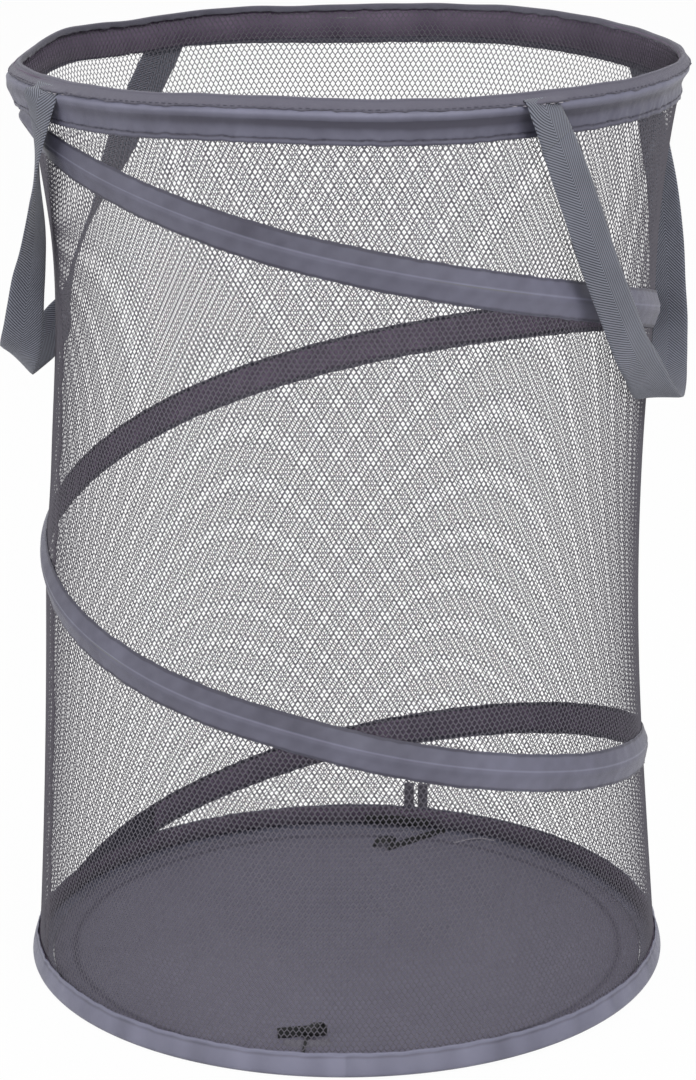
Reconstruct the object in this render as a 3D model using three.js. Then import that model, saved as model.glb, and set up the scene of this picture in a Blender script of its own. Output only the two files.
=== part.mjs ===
// Pop up laundry hamper: a net drum held open by a spiral spring wire between two wire rings.
// Sizes are in millimetres and angles in degrees. Height runs up +Z and the front faces -Y.
// A bearing is counted from the front towards +X. Each sleeve is a strip of cloth that lies on
// the outside of the net and arches over its wire.
import * as THREE from "three";
import { mergeVertices } from "three/addons/utils/BufferGeometryUtils.js";

// Overall form
const hamperHeight = 578; // floor to the top edge of the rim
const ringRadius = 200; // centre line of both ring wires
const drumRadius = 187; // outside of the net where the spiral rides on it

// Cloth and net
const clearance = 0.3; // between pieces that touch
const clothThickness = 0.7;
const netThickness = 0.8;
const netWaist = 4; // how far the net draws in half way between two turns of the spiral
const netShoulder = 6; // height of the net's step out to the rim sleeve
const netFlare = 30; // height of the net's spread out to the bottom sleeve
const netColumnCount = 18;
const netRowCount = 10; // half holes, one above the other
const netStrandWidth = 6;

// Wires
const ringWireDiameter = 2.5;
const spiralWireDiameter = 2.4;
const ferruleWall = 0.4;
const ferruleBoreGap = 0.15;
const ferruleLength = 14;
const archRoom = 0.6; // between a ferrule and the cloth that arches over it
const ringWireGap = 1; // between the two ends inside a ferrule
const capLength = 8; // round tips on the spiral wire's ends
const capWall = 0.45;

// Rim
const rimSleeveHeight = 25;
const bindingHeight = 6.8;
const bindingThickness = 1;

// Bottom
const bottomSleeveHeight = 15;
const bottomFootWidth = 10; // how far the bottom sleeve turns in under its wire
const basePanelThickness = 1.2;

// Spiral
const spiralPitch = 283;
const spiralTopDrop = 19; // its centre line would start this far under the rim's edge
const spiralStartDegrees = -90;
const casingRise = 11; // casing cloth above the wire
const casingFall = 13; // casing cloth below the wire

// Side seam
const seamDegrees = -75;
const seamTapeWidth = 8;
const seamTapeThickness = 0.6;
const seamStandOff = 0.9; // behind the net, so that the tape clears its straight strands

// Handles
const webbingWidth = 25;
const webbingThickness = 1.4;
const handleDrop = 192; // seam to the middle of the webbing at the lowest point
const handleHalfSpreadDegrees = 43;
const leftHandleDegrees = -99;
const rightHandleDegrees = 77;
const handleTurnDegrees = 45; // how far the webbing turns edge on below the rim
const handleTurnEndShare = 0.8; // of the half spread, where that turn is complete
const handleCurvePower = 2.75; // of the hanging curve, 2 being a parabola
const handleStandOff = 0.7;
const endTabHeight = 9; // stitched end of the webbing, over the rim sleeve

// Closure ties
const frontTieDegrees = -9;
const backTieDegrees = 166;
const tieRibbonWidth = 6;
const tieRibbonThickness = 1.2;
const tieLegGap = 1.5;
const tieLoopHeight = 34;
const tieKnotSpan = 40;
const tieKnotDepth = 15;
const tieKnotTailLength = 30;
const tieKnotThickness = 1.5;

// Facets: every ring starts at the seam, so that the steps of all pieces line up
const ringStepCount = 4 * netColumnCount;
const netStepDegrees = 180 / netColumnCount;
const wireSideCount = 6;
const wireStepCount = 60;
const archStepCount = 5;
const bendStepCount = 6; // on a ferrule's quarter and a tie's bend
const handleStepCount = 24;
const mergeShare = 0.001; // of the clearance, within which two points are one

// Worked out from the sizes above
const ferruleRadius = ringWireDiameter / 2 + ferruleBoreGap + ferruleWall;
const archInnerRadius = ferruleRadius + archRoom;
const archOuterRadius = archInnerRadius + clothThickness;
const wireStandOff = clearance + ferruleRadius; // net to the wire's centre line
const bandRadius = ringRadius - wireStandOff; // outside of the net inside both ring sleeves
const flangeOuter = clearance + clothThickness; // net to the outside of a flat sleeve
const rimSleeveBottom = hamperHeight - rimSleeveHeight;
const seamHeight = hamperHeight - bindingHeight; // where handles and sleeve are stitched
const rimWireHeight = seamHeight - clearance - archOuterRadius;
const bottomWireHeight = archOuterRadius;
const sleeveOuterRadius = ringRadius + archOuterRadius;

const radians = THREE.MathUtils.degToRad;

// One point of the drum, from its distance to the axis, its bearing and its height.
function onDrum(radius, bearing, height) {
  const angle = radians(bearing);
  return new THREE.Vector3(radius * Math.sin(angle), -radius * Math.cos(angle), height);
}

function outward(bearing) {
  return onDrum(1, bearing, 0);
}

// Points of an arc in a section, from one angle to another.
function arcPoints(centreX, centreY, radius, fromDegrees, toDegrees, steps) {
  return Array.from({ length: steps + 1 }, (unused, i) => {
    const angle = radians(THREE.MathUtils.lerp(fromDegrees, toDegrees, i / steps));
    return new THREE.Vector2(centreX + radius * Math.cos(angle), centreY + radius * Math.sin(angle));
  });
}

// A closed profile of distance and height, turned about the drum's axis.
function turned(profile) {
  const points = THREE.ShapeUtils.isClockWise(profile) ? [...profile].reverse() : [...profile];
  points.push(points[0].clone());
  const geometry = new THREE.LatheGeometry(points, ringStepCount, radians(seamDegrees));
  return geometry.rotateX(Math.PI / 2);
}

// A body through equal rows of points, capped at both ends.
function lofted(rows) {
  const count = rows[0].length;
  const corners = rows.flat().flatMap((point) => point.toArray());
  const faces = [];
  for (let row = 0; row < rows.length - 1; row += 1) {
    for (let side = 0; side < count; side += 1) {
      const beside = (side + 1) % count;
      const a = row * count + side;
      const b = row * count + beside;
      faces.push(a, b, b + count, a, b + count, a + count);
    }
  }
  const last = (rows.length - 1) * count;
  for (const [a, b, c] of THREE.ShapeUtils.triangulateShape(flatSection(rows[0]), [])) {
    faces.push(a, c, b, last + a, last + b, last + c);
  }
  const geometry = new THREE.BufferGeometry();
  geometry.setAttribute("position", new THREE.Float32BufferAttribute(corners, 3));
  geometry.setIndex(faces);
  return facingOut(geometry);
}

// A row of points drawn in its own plane, in the order that it has there.
function flatSection(row) {
  const middle = row.reduce((sum, p) => sum.add(p), new THREE.Vector3()).divideScalar(row.length);
  const normal = new THREE.Vector3();
  row.forEach((point, i) => {
    const next = row[(i + 1) % row.length];
    normal.add(point.clone().sub(middle).cross(next.clone().sub(middle)));
  });
  normal.normalize();
  const u = row[1].clone().sub(row[0]).normalize();
  const v = normal.clone().cross(u);
  return row.map((point) => new THREE.Vector2(point.dot(u), point.dot(v)));
}

// Turns every face over where the body's volume comes out negative.
function facingOut(geometry) {
  const position = geometry.getAttribute("position");
  const index = geometry.getIndex();
  const [a, b, c] = [new THREE.Vector3(), new THREE.Vector3(), new THREE.Vector3()];
  let volume = 0;
  for (let i = 0; i < index.count; i += 3) {
    a.fromBufferAttribute(position, index.getX(i));
    b.fromBufferAttribute(position, index.getX(i + 1));
    c.fromBufferAttribute(position, index.getX(i + 2));
    volume += a.dot(b.cross(c));
  }
  if (volume < 0) {
    for (let i = 0; i < index.count; i += 3) {
      const second = index.getX(i + 1);
      index.setX(i + 1, index.getX(i + 2));
      index.setX(i + 2, second);
    }
  }
  return geometry;
}

// Height of the spiral's centre line at a bearing, one turn of it.
function spiralHeight(turns) {
  return hamperHeight - spiralTopDrop - spiralPitch * turns;
}

// Outside of the net: full at the spiral, drawn in between its turns, spread out to both rings.
function netRadius(bearing, height) {
  const turns = (bearing - spiralStartDegrees) / 360;
  const away = Math.sin((Math.PI * (height - spiralHeight(turns))) / spiralPitch);
  const drum = drumRadius - netWaist * away * away;
  const up = (height - rimSleeveBottom + netShoulder) / netShoulder;
  const down = (bottomSleeveHeight + netFlare - height) / netFlare;
  const spread = THREE.MathUtils.clamp(Math.max(up, down), 0, 1);
  return THREE.MathUtils.lerp(drum, bandRadius, spread);
}

// The net: two plain hems and a lattice of pointed holes between them, as one sheet.
function netWall() {
  const flareTop = bottomSleeveHeight + netFlare;
  const latticeTop = rimSleeveBottom - netShoulder;
  const rowHeight = (latticeTop - flareTop) / netRowCount;
  const halfWidth = (2 * Math.PI * drumRadius) / netColumnCount / 2;
  const apothem = (halfWidth * rowHeight) / Math.hypot(halfWidth, rowHeight);
  const holeShare = 1 - netStrandWidth / 2 / apothem;
  const steps = 2 * netColumnCount;
  const corners = [];
  const faces = [];
  const pairs = new Map();

  // Points come in pairs, one on the sheet's outside and the next one on its inside.
  const place = (outer, inner) => {
    corners.push(outer, inner);
    return corners.length - 2;
  };
  const knot = (step, height) => {
    const column = ((step % steps) + steps) % steps;
    const key = `${column} ${height}`;
    if (!pairs.has(key)) {
      const bearing = seamDegrees + column * netStepDegrees;
      const outer = netRadius(bearing, height);
      const inner = outer - netThickness;
      pairs.set(key, place(onDrum(outer, bearing, height), onDrum(inner, bearing, height)));
    }
    return pairs.get(key);
  };
  const bothSides = (a, b, c, d) => {
    faces.push(a, b, c, a, c, d, a + 1, c + 1, b + 1, a + 1, d + 1, c + 1);
  };
  const edge = (a, b) => {
    faces.push(a, b + 1, b, a, a + 1, b + 1);
  };
  const hem = (low, high) => {
    for (let step = 0; step < steps; step += 1) {
      bothSides(knot(step, low), knot(step + 1, low), knot(step + 1, high), knot(step, high));
    }
  };
  const hole = (cell) => {
    const middle = [0, 1].map((side) =>
      cell.reduce((sum, i) => sum.add(corners[i + side]), new THREE.Vector3()).divideScalar(cell.length),
    );
    const rim = cell.map((i) =>
      place(
        middle[0].clone().lerp(corners[i], holeShare),
        middle[1].clone().lerp(corners[i + 1], holeShare),
      ),
    );
    cell.forEach((corner, i) => {
      const next = (i + 1) % cell.length;
      bothSides(corner, cell[next], rim[next], rim[i]);
      edge(rim[next], rim[i]);
    });
  };

  const netBottom = clothThickness + clearance;
  const netTop = hamperHeight - bindingThickness - clearance;
  hem(netBottom, bottomSleeveHeight);
  hem(bottomSleeveHeight, flareTop);
  hem(latticeTop, rimSleeveBottom);
  hem(rimSleeveBottom, netTop);
  for (let step = 0; step < steps; step += 1) {
    edge(knot(step, netBottom), knot(step + 1, netBottom));
    edge(knot(step + 1, netTop), knot(step, netTop));
  }
  const rowAt = (row) => flareTop + row * rowHeight;
  for (let row = 0; row <= netRowCount; row += 1) {
    const low = rowAt(Math.max(row - 1, 0));
    const middle = rowAt(row);
    const high = rowAt(Math.min(row + 1, netRowCount));
    for (let step = row % 2; step < steps; step += 2) {
      hole([knot(step, low), knot(step + 1, middle), knot(step, high), knot(step - 1, middle)]);
    }
  }
  const geometry = new THREE.BufferGeometry();
  const positions = corners.flatMap((point) => point.toArray());
  geometry.setAttribute("position", new THREE.Float32BufferAttribute(positions, 3));
  geometry.setIndex(faces);
  return facingOut(geometry);
}

// Where an arch round the wire meets a flange's face, as an angle from straight out.
function meetDegrees(face, radius) {
  return THREE.MathUtils.radToDeg(Math.acos((face - wireStandOff) / radius));
}

const innerMeetDegrees = meetDegrees(clearance, archInnerRadius);
const outerMeetDegrees = meetDegrees(flangeOuter, archOuterRadius);

// Section of a sleeve: distance out from the net, and height from its wire. A flange lies on the
// net above and below an arch that goes over the wire.
function sleeveSection(rise, fall) {
  return [
    new THREE.Vector2(clearance, rise),
    ...arcPoints(wireStandOff, 0, archInnerRadius, innerMeetDegrees, -innerMeetDegrees, archStepCount),
    new THREE.Vector2(clearance, -fall),
    new THREE.Vector2(flangeOuter, -fall),
    ...arcPoints(wireStandOff, 0, archOuterRadius, -outerMeetDegrees, outerMeetDegrees, archStepCount),
    new THREE.Vector2(flangeOuter, rise),
  ];
}

function rimSleeve() {
  const rise = hamperHeight - bindingThickness - clearance - rimWireHeight;
  const section = sleeveSection(rise, rimWireHeight - rimSleeveBottom);
  return turned(section.map((p) => new THREE.Vector2(bandRadius + p.x, rimWireHeight + p.y)));
}

// The binding folds over the top edges of net and sleeve.
function rimBinding() {
  const netInnerMiddle = (bandRadius - netThickness) * Math.cos(radians(netStepDegrees / 2));
  const inner = netInnerMiddle - clearance;
  const outer = bandRadius + flangeOuter + clearance;
  const ceiling = hamperHeight - bindingThickness;
  return turned([
    new THREE.Vector2(inner - bindingThickness, seamHeight),
    new THREE.Vector2(inner, seamHeight),
    new THREE.Vector2(inner, ceiling),
    new THREE.Vector2(outer, ceiling),
    new THREE.Vector2(outer, seamHeight),
    new THREE.Vector2(outer + bindingThickness, seamHeight),
    new THREE.Vector2(outer + bindingThickness, ceiling),
    new THREE.Vector2(outer, hamperHeight),
    new THREE.Vector2(inner, hamperHeight),
    new THREE.Vector2(inner - bindingThickness, ceiling),
  ]);
}

// The bottom sleeve goes down over its wire and turns in under it to meet the base panel.
function bottomSleeve() {
  const rise = bottomSleeveHeight - bottomWireHeight;
  const footEnd = wireStandOff - bottomFootWidth;
  const profile = [
    new THREE.Vector2(clearance, rise),
    ...arcPoints(wireStandOff, 0, archInnerRadius, innerMeetDegrees, -90, archStepCount),
    new THREE.Vector2(footEnd, -archInnerRadius),
    new THREE.Vector2(footEnd, -archOuterRadius),
    ...arcPoints(wireStandOff, 0, archOuterRadius, -90, outerMeetDegrees, archStepCount),
    new THREE.Vector2(flangeOuter, rise),
  ];
  return turned(profile.map((p) => new THREE.Vector2(bandRadius + p.x, bottomWireHeight + p.y)));
}

function basePanel() {
  const radius = ringRadius - bottomFootWidth - clearance;
  return turned([
    new THREE.Vector2(0, 0),
    new THREE.Vector2(radius, 0),
    new THREE.Vector2(radius, basePanelThickness),
    new THREE.Vector2(0, basePanelThickness),
  ]);
}

// A round section of a wire at a bearing, standing across the wire's run.
function wireRing(radius, bearing, height, wireRadius) {
  return Array.from({ length: wireSideCount }, (unused, side) => {
    const angle = (2 * Math.PI * (side + 0.5)) / wireSideCount;
    return onDrum(radius + wireRadius * Math.cos(angle), bearing, height + wireRadius * Math.sin(angle));
  });
}

// A ring wire, open by a small gap in the middle of one straight step at the back.
function ringWire(height) {
  const step = 360 / wireStepCount;
  const middleRadius = ringRadius * Math.cos(radians(step / 2));
  const half = THREE.MathUtils.radToDeg(Math.atan(ringWireGap / 2 / middleRadius));
  const endRadius = middleRadius / Math.cos(radians(half));
  const start = 180 + step / 2;
  const rows = [wireRing(endRadius, 180 + half, height, ringWireDiameter / 2)];
  for (let i = 0; i < wireStepCount; i += 1) {
    rows.push(wireRing(ringRadius, start + i * step, height, ringWireDiameter / 2));
  }
  rows.push(wireRing(endRadius, 180 + 360 - half, height, ringWireDiameter / 2));
  return lofted(rows);
}

// The crimped tube that joins the two ends of a ring wire.
function ringFerrule(height) {
  const tube = new THREE.Shape();
  tube.absarc(0, 0, ferruleRadius, 0, 2 * Math.PI);
  const bore = new THREE.Path();
  bore.absarc(0, 0, ferruleRadius - ferruleWall, 0, 2 * Math.PI, true);
  tube.holes.push(bore);
  const geometry = new THREE.ExtrudeGeometry(tube, {
    depth: ferruleLength,
    bevelEnabled: false,
    curveSegments: bendStepCount,
  });
  const middleRadius = ringRadius * Math.cos(Math.PI / wireStepCount);
  return geometry
    .translate(0, 0, -ferruleLength / 2)
    .rotateY(Math.PI / 2)
    .translate(0, middleRadius, height);
}

// Bearings of the spiral's steps, from just under the rim sleeve to just above the bottom sleeve.
function spiralSteps() {
  const highest = rimSleeveBottom - netShoulder - casingRise - clearance;
  const lowest = bottomSleeveHeight + clearance + archOuterRadius;
  const stepFall = (spiralPitch * netStepDegrees) / 360;
  const seamTop = spiralHeight((seamDegrees - spiralStartDegrees) / 360);
  const first = Math.ceil((seamTop - highest) / stepFall);
  const last = Math.floor((seamTop - lowest) / stepFall);
  return Array.from({ length: last - first + 1 }, (unused, i) => ({
    bearing: seamDegrees + (first + i) * netStepDegrees,
    height: seamTop - (first + i) * stepFall,
  }));
}

function spiralCasing() {
  const floor = bottomSleeveHeight + clearance;
  return lofted(
    spiralSteps().map(({ bearing, height }) => {
      const fall = Math.min(casingFall, height - floor);
      return sleeveSection(casingRise, fall).map((p) => {
        const at = height + p.y;
        return onDrum(netRadius(bearing, at) + p.x, bearing, at);
      });
    }),
  );
}

function spiralRow(bearing, height, wireRadius) {
  return wireRing(netRadius(bearing, height) + wireStandOff, bearing, height, wireRadius);
}

function spiralWire() {
  return lofted(
    spiralSteps()
      .slice(1, -1)
      .map(({ bearing, height }) => spiralRow(bearing, height, spiralWireDiameter / 2)),
  );
}

// A cup over one end of the spiral wire, drawn along its last straight step.
function spiralCap(atTop) {
  const steps = spiralSteps().slice(1, -1);
  const [end, before] = atTop ? [steps[0], steps[1]] : [steps.at(-1), steps.at(-2)];
  const centre = ({ bearing, height }) =>
    onDrum(netRadius(bearing, height) + wireStandOff, bearing, height);
  const along = centre(end).sub(centre(before)).normalize();
  const boreRadius = spiralWireDiameter / 2 + ferruleBoreGap;
  const outerRadius = boreRadius + capWall;
  const skirt = capLength - clearance - capWall;
  const geometry = new THREE.LatheGeometry(
    [
      new THREE.Vector2(0, clearance),
      new THREE.Vector2(boreRadius, clearance),
      new THREE.Vector2(boreRadius, -skirt),
      new THREE.Vector2(outerRadius, -skirt),
      new THREE.Vector2(outerRadius, 0),
      new THREE.Vector2(boreRadius, clearance + capWall),
      new THREE.Vector2(0, clearance + capWall),
    ].reverse(),
    2 * wireSideCount,
  );
  const turn = new THREE.Quaternion().setFromUnitVectors(new THREE.Vector3(0, 1, 0), along);
  geometry.applyQuaternion(turn);
  const place = centre(end);
  return facingOut(merged(geometry.translate(place.x, place.y, place.z)));
}

// The tape that joins the net's two edges, on the inside from hem to hem.
function seamTape() {
  const low = basePanelThickness + clearance;
  const high = seamHeight - clearance;
  const flareTop = bottomSleeveHeight + netFlare;
  const latticeTop = rimSleeveBottom - netShoulder;
  const beside = Array.from({ length: netRowCount + 1 }, (unused, i) =>
    THREE.MathUtils.lerp(flareTop, latticeTop, i / netRowCount),
  );
  const half = THREE.MathUtils.radToDeg(seamTapeWidth / 2 / drumRadius);
  return lofted(
    [low, bottomSleeveHeight, ...beside, rimSleeveBottom, high].map((height) => {
      const face = netRadius(seamDegrees, height) - netThickness - seamStandOff;
      return [
        onDrum(face, seamDegrees - half, height),
        onDrum(face, seamDegrees + half, height),
        onDrum(face - seamTapeThickness, seamDegrees + half, height),
        onDrum(face - seamTapeThickness, seamDegrees - half, height),
      ];
    }),
  );
}

// Middle line of a hanging handle, wrapped round the drum. Its share runs from end to end.
class HandleCurve extends THREE.Curve {
  constructor(centreDegrees) {
    super();
    this.centreDegrees = centreDegrees;
  }

  spot(share) {
    const side = 2 * share - 1;
    const drop = handleDrop - endTabHeight - clearance;
    const top = seamHeight - endTabHeight - clearance;
    return {
      side,
      bearing: this.centreDegrees + handleHalfSpreadDegrees * side,
      height: top - drop * (1 - Math.abs(side) ** handleCurvePower),
    };
  }

  getPoint(share, target = new THREE.Vector3()) {
    const { bearing, height } = this.spot(share);
    return target.copy(onDrum(sleeveOuterRadius, bearing, height));
  }
}

// Webbing that hangs from its two ends. Between them it turns part way edge on, so that one edge
// stands out from the drum: the loop's outer edge where turnedOut is 1, its inner edge at -1.
function handleWebbing(centreDegrees, turnedOut) {
  const curve = new HandleCurve(centreDegrees);
  const rows = [];
  for (let step = 0; step <= handleStepCount; step += 1) {
    const share = curve.getUtoTmapping(step / handleStepCount);
    const { side, bearing, height } = curve.spot(share);
    const turnShare = 1 - THREE.MathUtils.smoothstep(Math.abs(side), handleTurnEndShare, 1);
    const upright = new THREE.Vector3(0, 0, Math.sign(side));
    const run = curve.getTangent(share).lerp(upright, 1 - turnShare);
    const out = outward(bearing);
    const outside = run.clone().cross(out).normalize();
    const turn = radians(handleTurnDegrees) * turnShare;
    const width = out.clone().multiplyScalar(Math.sin(turn));
    width.addScaledVector(outside, -turnedOut * Math.cos(turn));
    const face = out.clone().multiplyScalar(Math.cos(turn));
    face.addScaledVector(outside, turnedOut * Math.sin(turn));
    const reach = (Math.sin(turn) * webbingWidth + Math.cos(turn) * webbingThickness) / 2;
    const radius = sleeveOuterRadius + handleStandOff + reach;
    const middle = onDrum(radius, bearing, height);
    rows.push(
      [
        [-1, -1],
        [1, -1],
        [1, 1],
        [-1, 1],
      ].map(([across, through]) =>
        middle
          .clone()
          .addScaledVector(width, (across * webbingWidth) / 2)
          .addScaledVector(face, (through * webbingThickness) / 2),
      ),
    );
  }
  return lofted(rows);
}

// The stitched end of a handle, flat on the rim sleeve just under the binding.
function handleTab(bearing) {
  const half = THREE.MathUtils.radToDeg(webbingWidth / 2 / sleeveOuterRadius);
  const low = seamHeight - endTabHeight;
  const high = seamHeight - clearance;
  const inner = sleeveOuterRadius + clearance;
  return lofted(
    [-half, 0, half].map((turn) => [
      onDrum(inner, bearing + turn, low),
      onDrum(inner + webbingThickness, bearing + turn, low),
      onDrum(inner + webbingThickness, bearing + turn, high),
      onDrum(inner, bearing + turn, high),
    ]),
  );
}

// A flat outline stood against the drum, its x across and its y up.
function stood(shape, thickness, radius, bearing, height) {
  const geometry = new THREE.ExtrudeGeometry(shape, {
    depth: thickness,
    bevelEnabled: false,
    curveSegments: bendStepCount,
  });
  const place = onDrum(radius + thickness, bearing, height);
  return geometry.rotateX(Math.PI / 2).rotateZ(radians(bearing)).translate(place.x, place.y, height);
}

// A loop of ribbon that stands up outside the bottom sleeve and holds the folded hamper.
function tieLoop(bearing) {
  const foot = bottomWireHeight + archOuterRadius + clearance;
  const outerHalf = tieRibbonWidth + tieLegGap / 2;
  const straight = tieLoopHeight - outerHalf;
  const shape = new THREE.Shape();
  shape.moveTo(outerHalf, 0);
  shape.lineTo(outerHalf, straight);
  shape.absarc(0, straight, outerHalf, 0, Math.PI);
  shape.lineTo(-outerHalf, 0);
  shape.lineTo(-tieLegGap / 2, 0);
  shape.lineTo(-tieLegGap / 2, straight);
  shape.absarc(0, straight, tieLegGap / 2, Math.PI, 0, true);
  shape.lineTo(tieLegGap / 2, 0);
  return stood(shape, tieRibbonThickness, bandRadius + flangeOuter + 2 * clearance, bearing, foot);
}

// The ribbon's knotted tail, which lies on the base panel inside the drum.
function tieKnot(bearing) {
  const waist = tieRibbonWidth / 2;
  const half = tieKnotSpan / 2;
  const shape = new THREE.Shape([
    new THREE.Vector2(-waist, tieKnotTailLength),
    new THREE.Vector2(-waist, tieKnotDepth / 2 + waist),
    new THREE.Vector2(-half, tieKnotDepth / 2),
    new THREE.Vector2(-half, -tieKnotDepth / 2),
    new THREE.Vector2(0, -waist),
    new THREE.Vector2(half, -tieKnotDepth / 2),
    new THREE.Vector2(half, tieKnotDepth / 2),
    new THREE.Vector2(waist, tieKnotDepth / 2 + waist),
    new THREE.Vector2(waist, tieKnotTailLength),
  ]);
  const geometry = new THREE.ExtrudeGeometry(shape, { depth: tieKnotThickness, bevelEnabled: false });
  const middle = ringRadius - bottomFootWidth - clearance - tieKnotTailLength;
  const place = onDrum(middle, bearing, basePanelThickness + clearance);
  return geometry.rotateZ(radians(bearing + 180)).translate(place.x, place.y, place.z);
}

// Only places are kept, with equal ones joined, so that each body is closed.
function merged(geometry) {
  geometry.deleteAttribute("normal");
  geometry.deleteAttribute("uv");
  return mergeVertices(geometry, clearance * mergeShare);
}

const finishes = {
  nylon: { color: 0x6a6980, roughness: 0.55, metalness: 0 },
  binding: { color: 0x6c6b7c, roughness: 0.7, metalness: 0 },
  net: { color: 0x5f5b66, roughness: 0.8, metalness: 0 },
  panel: { color: 0x5d5a69, roughness: 0.75, metalness: 0 },
  webbing: { color: 0x62687a, roughness: 0.85, metalness: 0 },
  ribbon: { color: 0x3b3a3f, roughness: 0.8, metalness: 0 },
  steel: { color: 0x9a9ca0, roughness: 0.35, metalness: 1 },
  plastic: { color: 0x2a2a2e, roughness: 0.5, metalness: 0 },
};

const group = new THREE.Group();

function add(name, geometry, finish) {
  const body = merged(geometry);
  body.computeVertexNormals();
  const mesh = new THREE.Mesh(body, new THREE.MeshStandardMaterial(finish));
  mesh.name = name;
  group.add(mesh);
}

add("base_panel", basePanel(), finishes.panel);
add("bottom_ring_wire", ringWire(bottomWireHeight), finishes.steel);
add("bottom_ring_ferrule", ringFerrule(bottomWireHeight), finishes.steel);
add("bottom_sleeve", bottomSleeve(), finishes.nylon);
add("back_tie_loop", tieLoop(backTieDegrees), finishes.ribbon);
add("front_tie_knot", tieKnot(frontTieDegrees), finishes.ribbon);
add("back_tie_knot", tieKnot(backTieDegrees), finishes.ribbon);

add("net_wall", netWall(), finishes.net);
add("side_seam_tape", seamTape(), finishes.net);
add("spiral_wire", spiralWire(), finishes.steel);
add("spiral_top_cap", spiralCap(true), finishes.plastic);
add("spiral_bottom_cap", spiralCap(false), finishes.plastic);
add("spiral_casing", spiralCasing(), finishes.nylon);

add("rim_wire", ringWire(rimWireHeight), finishes.steel);
add("rim_ferrule", ringFerrule(rimWireHeight), finishes.steel);
add("rim_sleeve", rimSleeve(), finishes.nylon);
add("rim_binding", rimBinding(), finishes.binding);

for (const [side, centreDegrees, turnedOut] of [
  ["left", leftHandleDegrees, 1],
  ["right", rightHandleDegrees, -1],
]) {
  add(`${side}_handle`, handleWebbing(centreDegrees, turnedOut), finishes.webbing);
  add(`${side}_handle_tab_a`, handleTab(centreDegrees - handleHalfSpreadDegrees), finishes.webbing);
  add(`${side}_handle_tab_b`, handleTab(centreDegrees + handleHalfSpreadDegrees), finishes.webbing);
}

export default group;
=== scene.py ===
"""Dresses the pop-up laundry hamper: net drum, spiral casing, rim, foot, base, handles and ties.

Lengths are in metres and bearings in degrees, counted from the front (-Y) towards the right
(+X). Every piece is a surface worked out from two parameters: mostly a bearing round the drum
and a place across a strip of cloth.
"""

from __future__ import annotations

import logging
import math
from collections.abc import Callable
from dataclasses import dataclass, field
from enum import Enum

import bpy
import numpy as np
from mathutils import Matrix


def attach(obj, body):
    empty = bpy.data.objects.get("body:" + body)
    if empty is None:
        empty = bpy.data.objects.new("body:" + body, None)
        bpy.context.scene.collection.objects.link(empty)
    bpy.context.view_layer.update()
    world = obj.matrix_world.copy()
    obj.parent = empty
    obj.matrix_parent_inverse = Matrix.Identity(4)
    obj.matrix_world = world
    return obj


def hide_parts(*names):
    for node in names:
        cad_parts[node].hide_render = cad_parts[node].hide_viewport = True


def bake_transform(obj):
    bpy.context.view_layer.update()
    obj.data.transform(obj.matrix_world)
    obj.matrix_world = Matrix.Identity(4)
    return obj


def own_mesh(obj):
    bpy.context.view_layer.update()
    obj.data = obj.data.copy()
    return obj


LOG = logging.getLogger("hamper")
MM = 0.001

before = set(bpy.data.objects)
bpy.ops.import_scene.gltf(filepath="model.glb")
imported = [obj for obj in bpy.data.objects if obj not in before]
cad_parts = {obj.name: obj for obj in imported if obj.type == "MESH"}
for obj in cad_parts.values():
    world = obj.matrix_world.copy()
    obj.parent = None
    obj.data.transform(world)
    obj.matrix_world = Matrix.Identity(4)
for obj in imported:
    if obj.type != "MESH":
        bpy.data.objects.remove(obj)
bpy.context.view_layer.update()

Array = np.ndarray


class Body(str, Enum):
    """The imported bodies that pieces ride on."""

    BASE = "base"
    RIM = "rim"
    LEFT = "left_handle"
    RIGHT = "right_handle"


class Side(Enum):
    """The two handles."""

    LEFT = "left"
    RIGHT = "right"


# Meshes


def sine(degrees: Array | float) -> Array:
    """Sine of an angle in degrees."""
    return np.sin(np.radians(degrees))


def cosine(degrees: Array | float) -> Array:
    """Cosine of an angle in degrees."""
    return np.cos(np.radians(degrees))


def smooth(share: Array | float) -> Array:
    """Eases a share from 0 to 1: three times its square less twice its cube."""
    held = np.clip(share, 0.0, 1.0)
    return held * held * (3.0 - 2.0 * held)


def ramp(value: Array, start: float, end: float) -> Array:
    """Share of the way from start to end, eased and held at 0 and 1."""
    return smooth((value - start) / (end - start))


def bell(value: Array, middle: float, half: float) -> Array:
    """1 at the middle and falling off on both sides: e to minus the square of the distance from
    it, counted in half widths."""
    return np.exp(-(((value - middle) / half) ** 2))


def all_round(steps: int) -> Array:
    """Evenly spaced bearings round the drum, as a column."""
    return np.linspace(0.0, 360.0, steps, endpoint=False)[:, None]


def unit(vectors: Array) -> Array:
    """Vectors of length one along the last axis."""
    return vectors / np.maximum(np.linalg.norm(vectors, axis=-1, keepdims=True), 1e-12)


@dataclass(frozen=True)
class Ripple:
    """Seeded unevenness along a strip: a sum of sines of random phase that fades with pitch."""

    seed: int
    shortest: float
    longest: float
    waves: int = 9

    def __call__(self, along: Array, across: Array | float = 0.0) -> Array:
        """Adds up sines of the place along the strip, each one slanted a little across it.

        Args:
            along: places along the strip.
            across: places across the strip.

        Returns:
            Unevenness, mostly between -1 and 1.
        """
        draw = np.random.default_rng(self.seed)
        total = np.zeros(np.broadcast(along, across).shape)
        for pitch in np.geomspace(self.longest, self.shortest, self.waves):
            spread = draw.uniform(0.8, 1.25)
            phase, slant = draw.uniform(0.0, 2.0 * math.pi), draw.uniform(-0.6, 0.6)
            total += np.sin(2.0 * math.pi * (along + slant * across) / (pitch * spread) + phase)
        return total / math.sqrt(self.waves)


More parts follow.
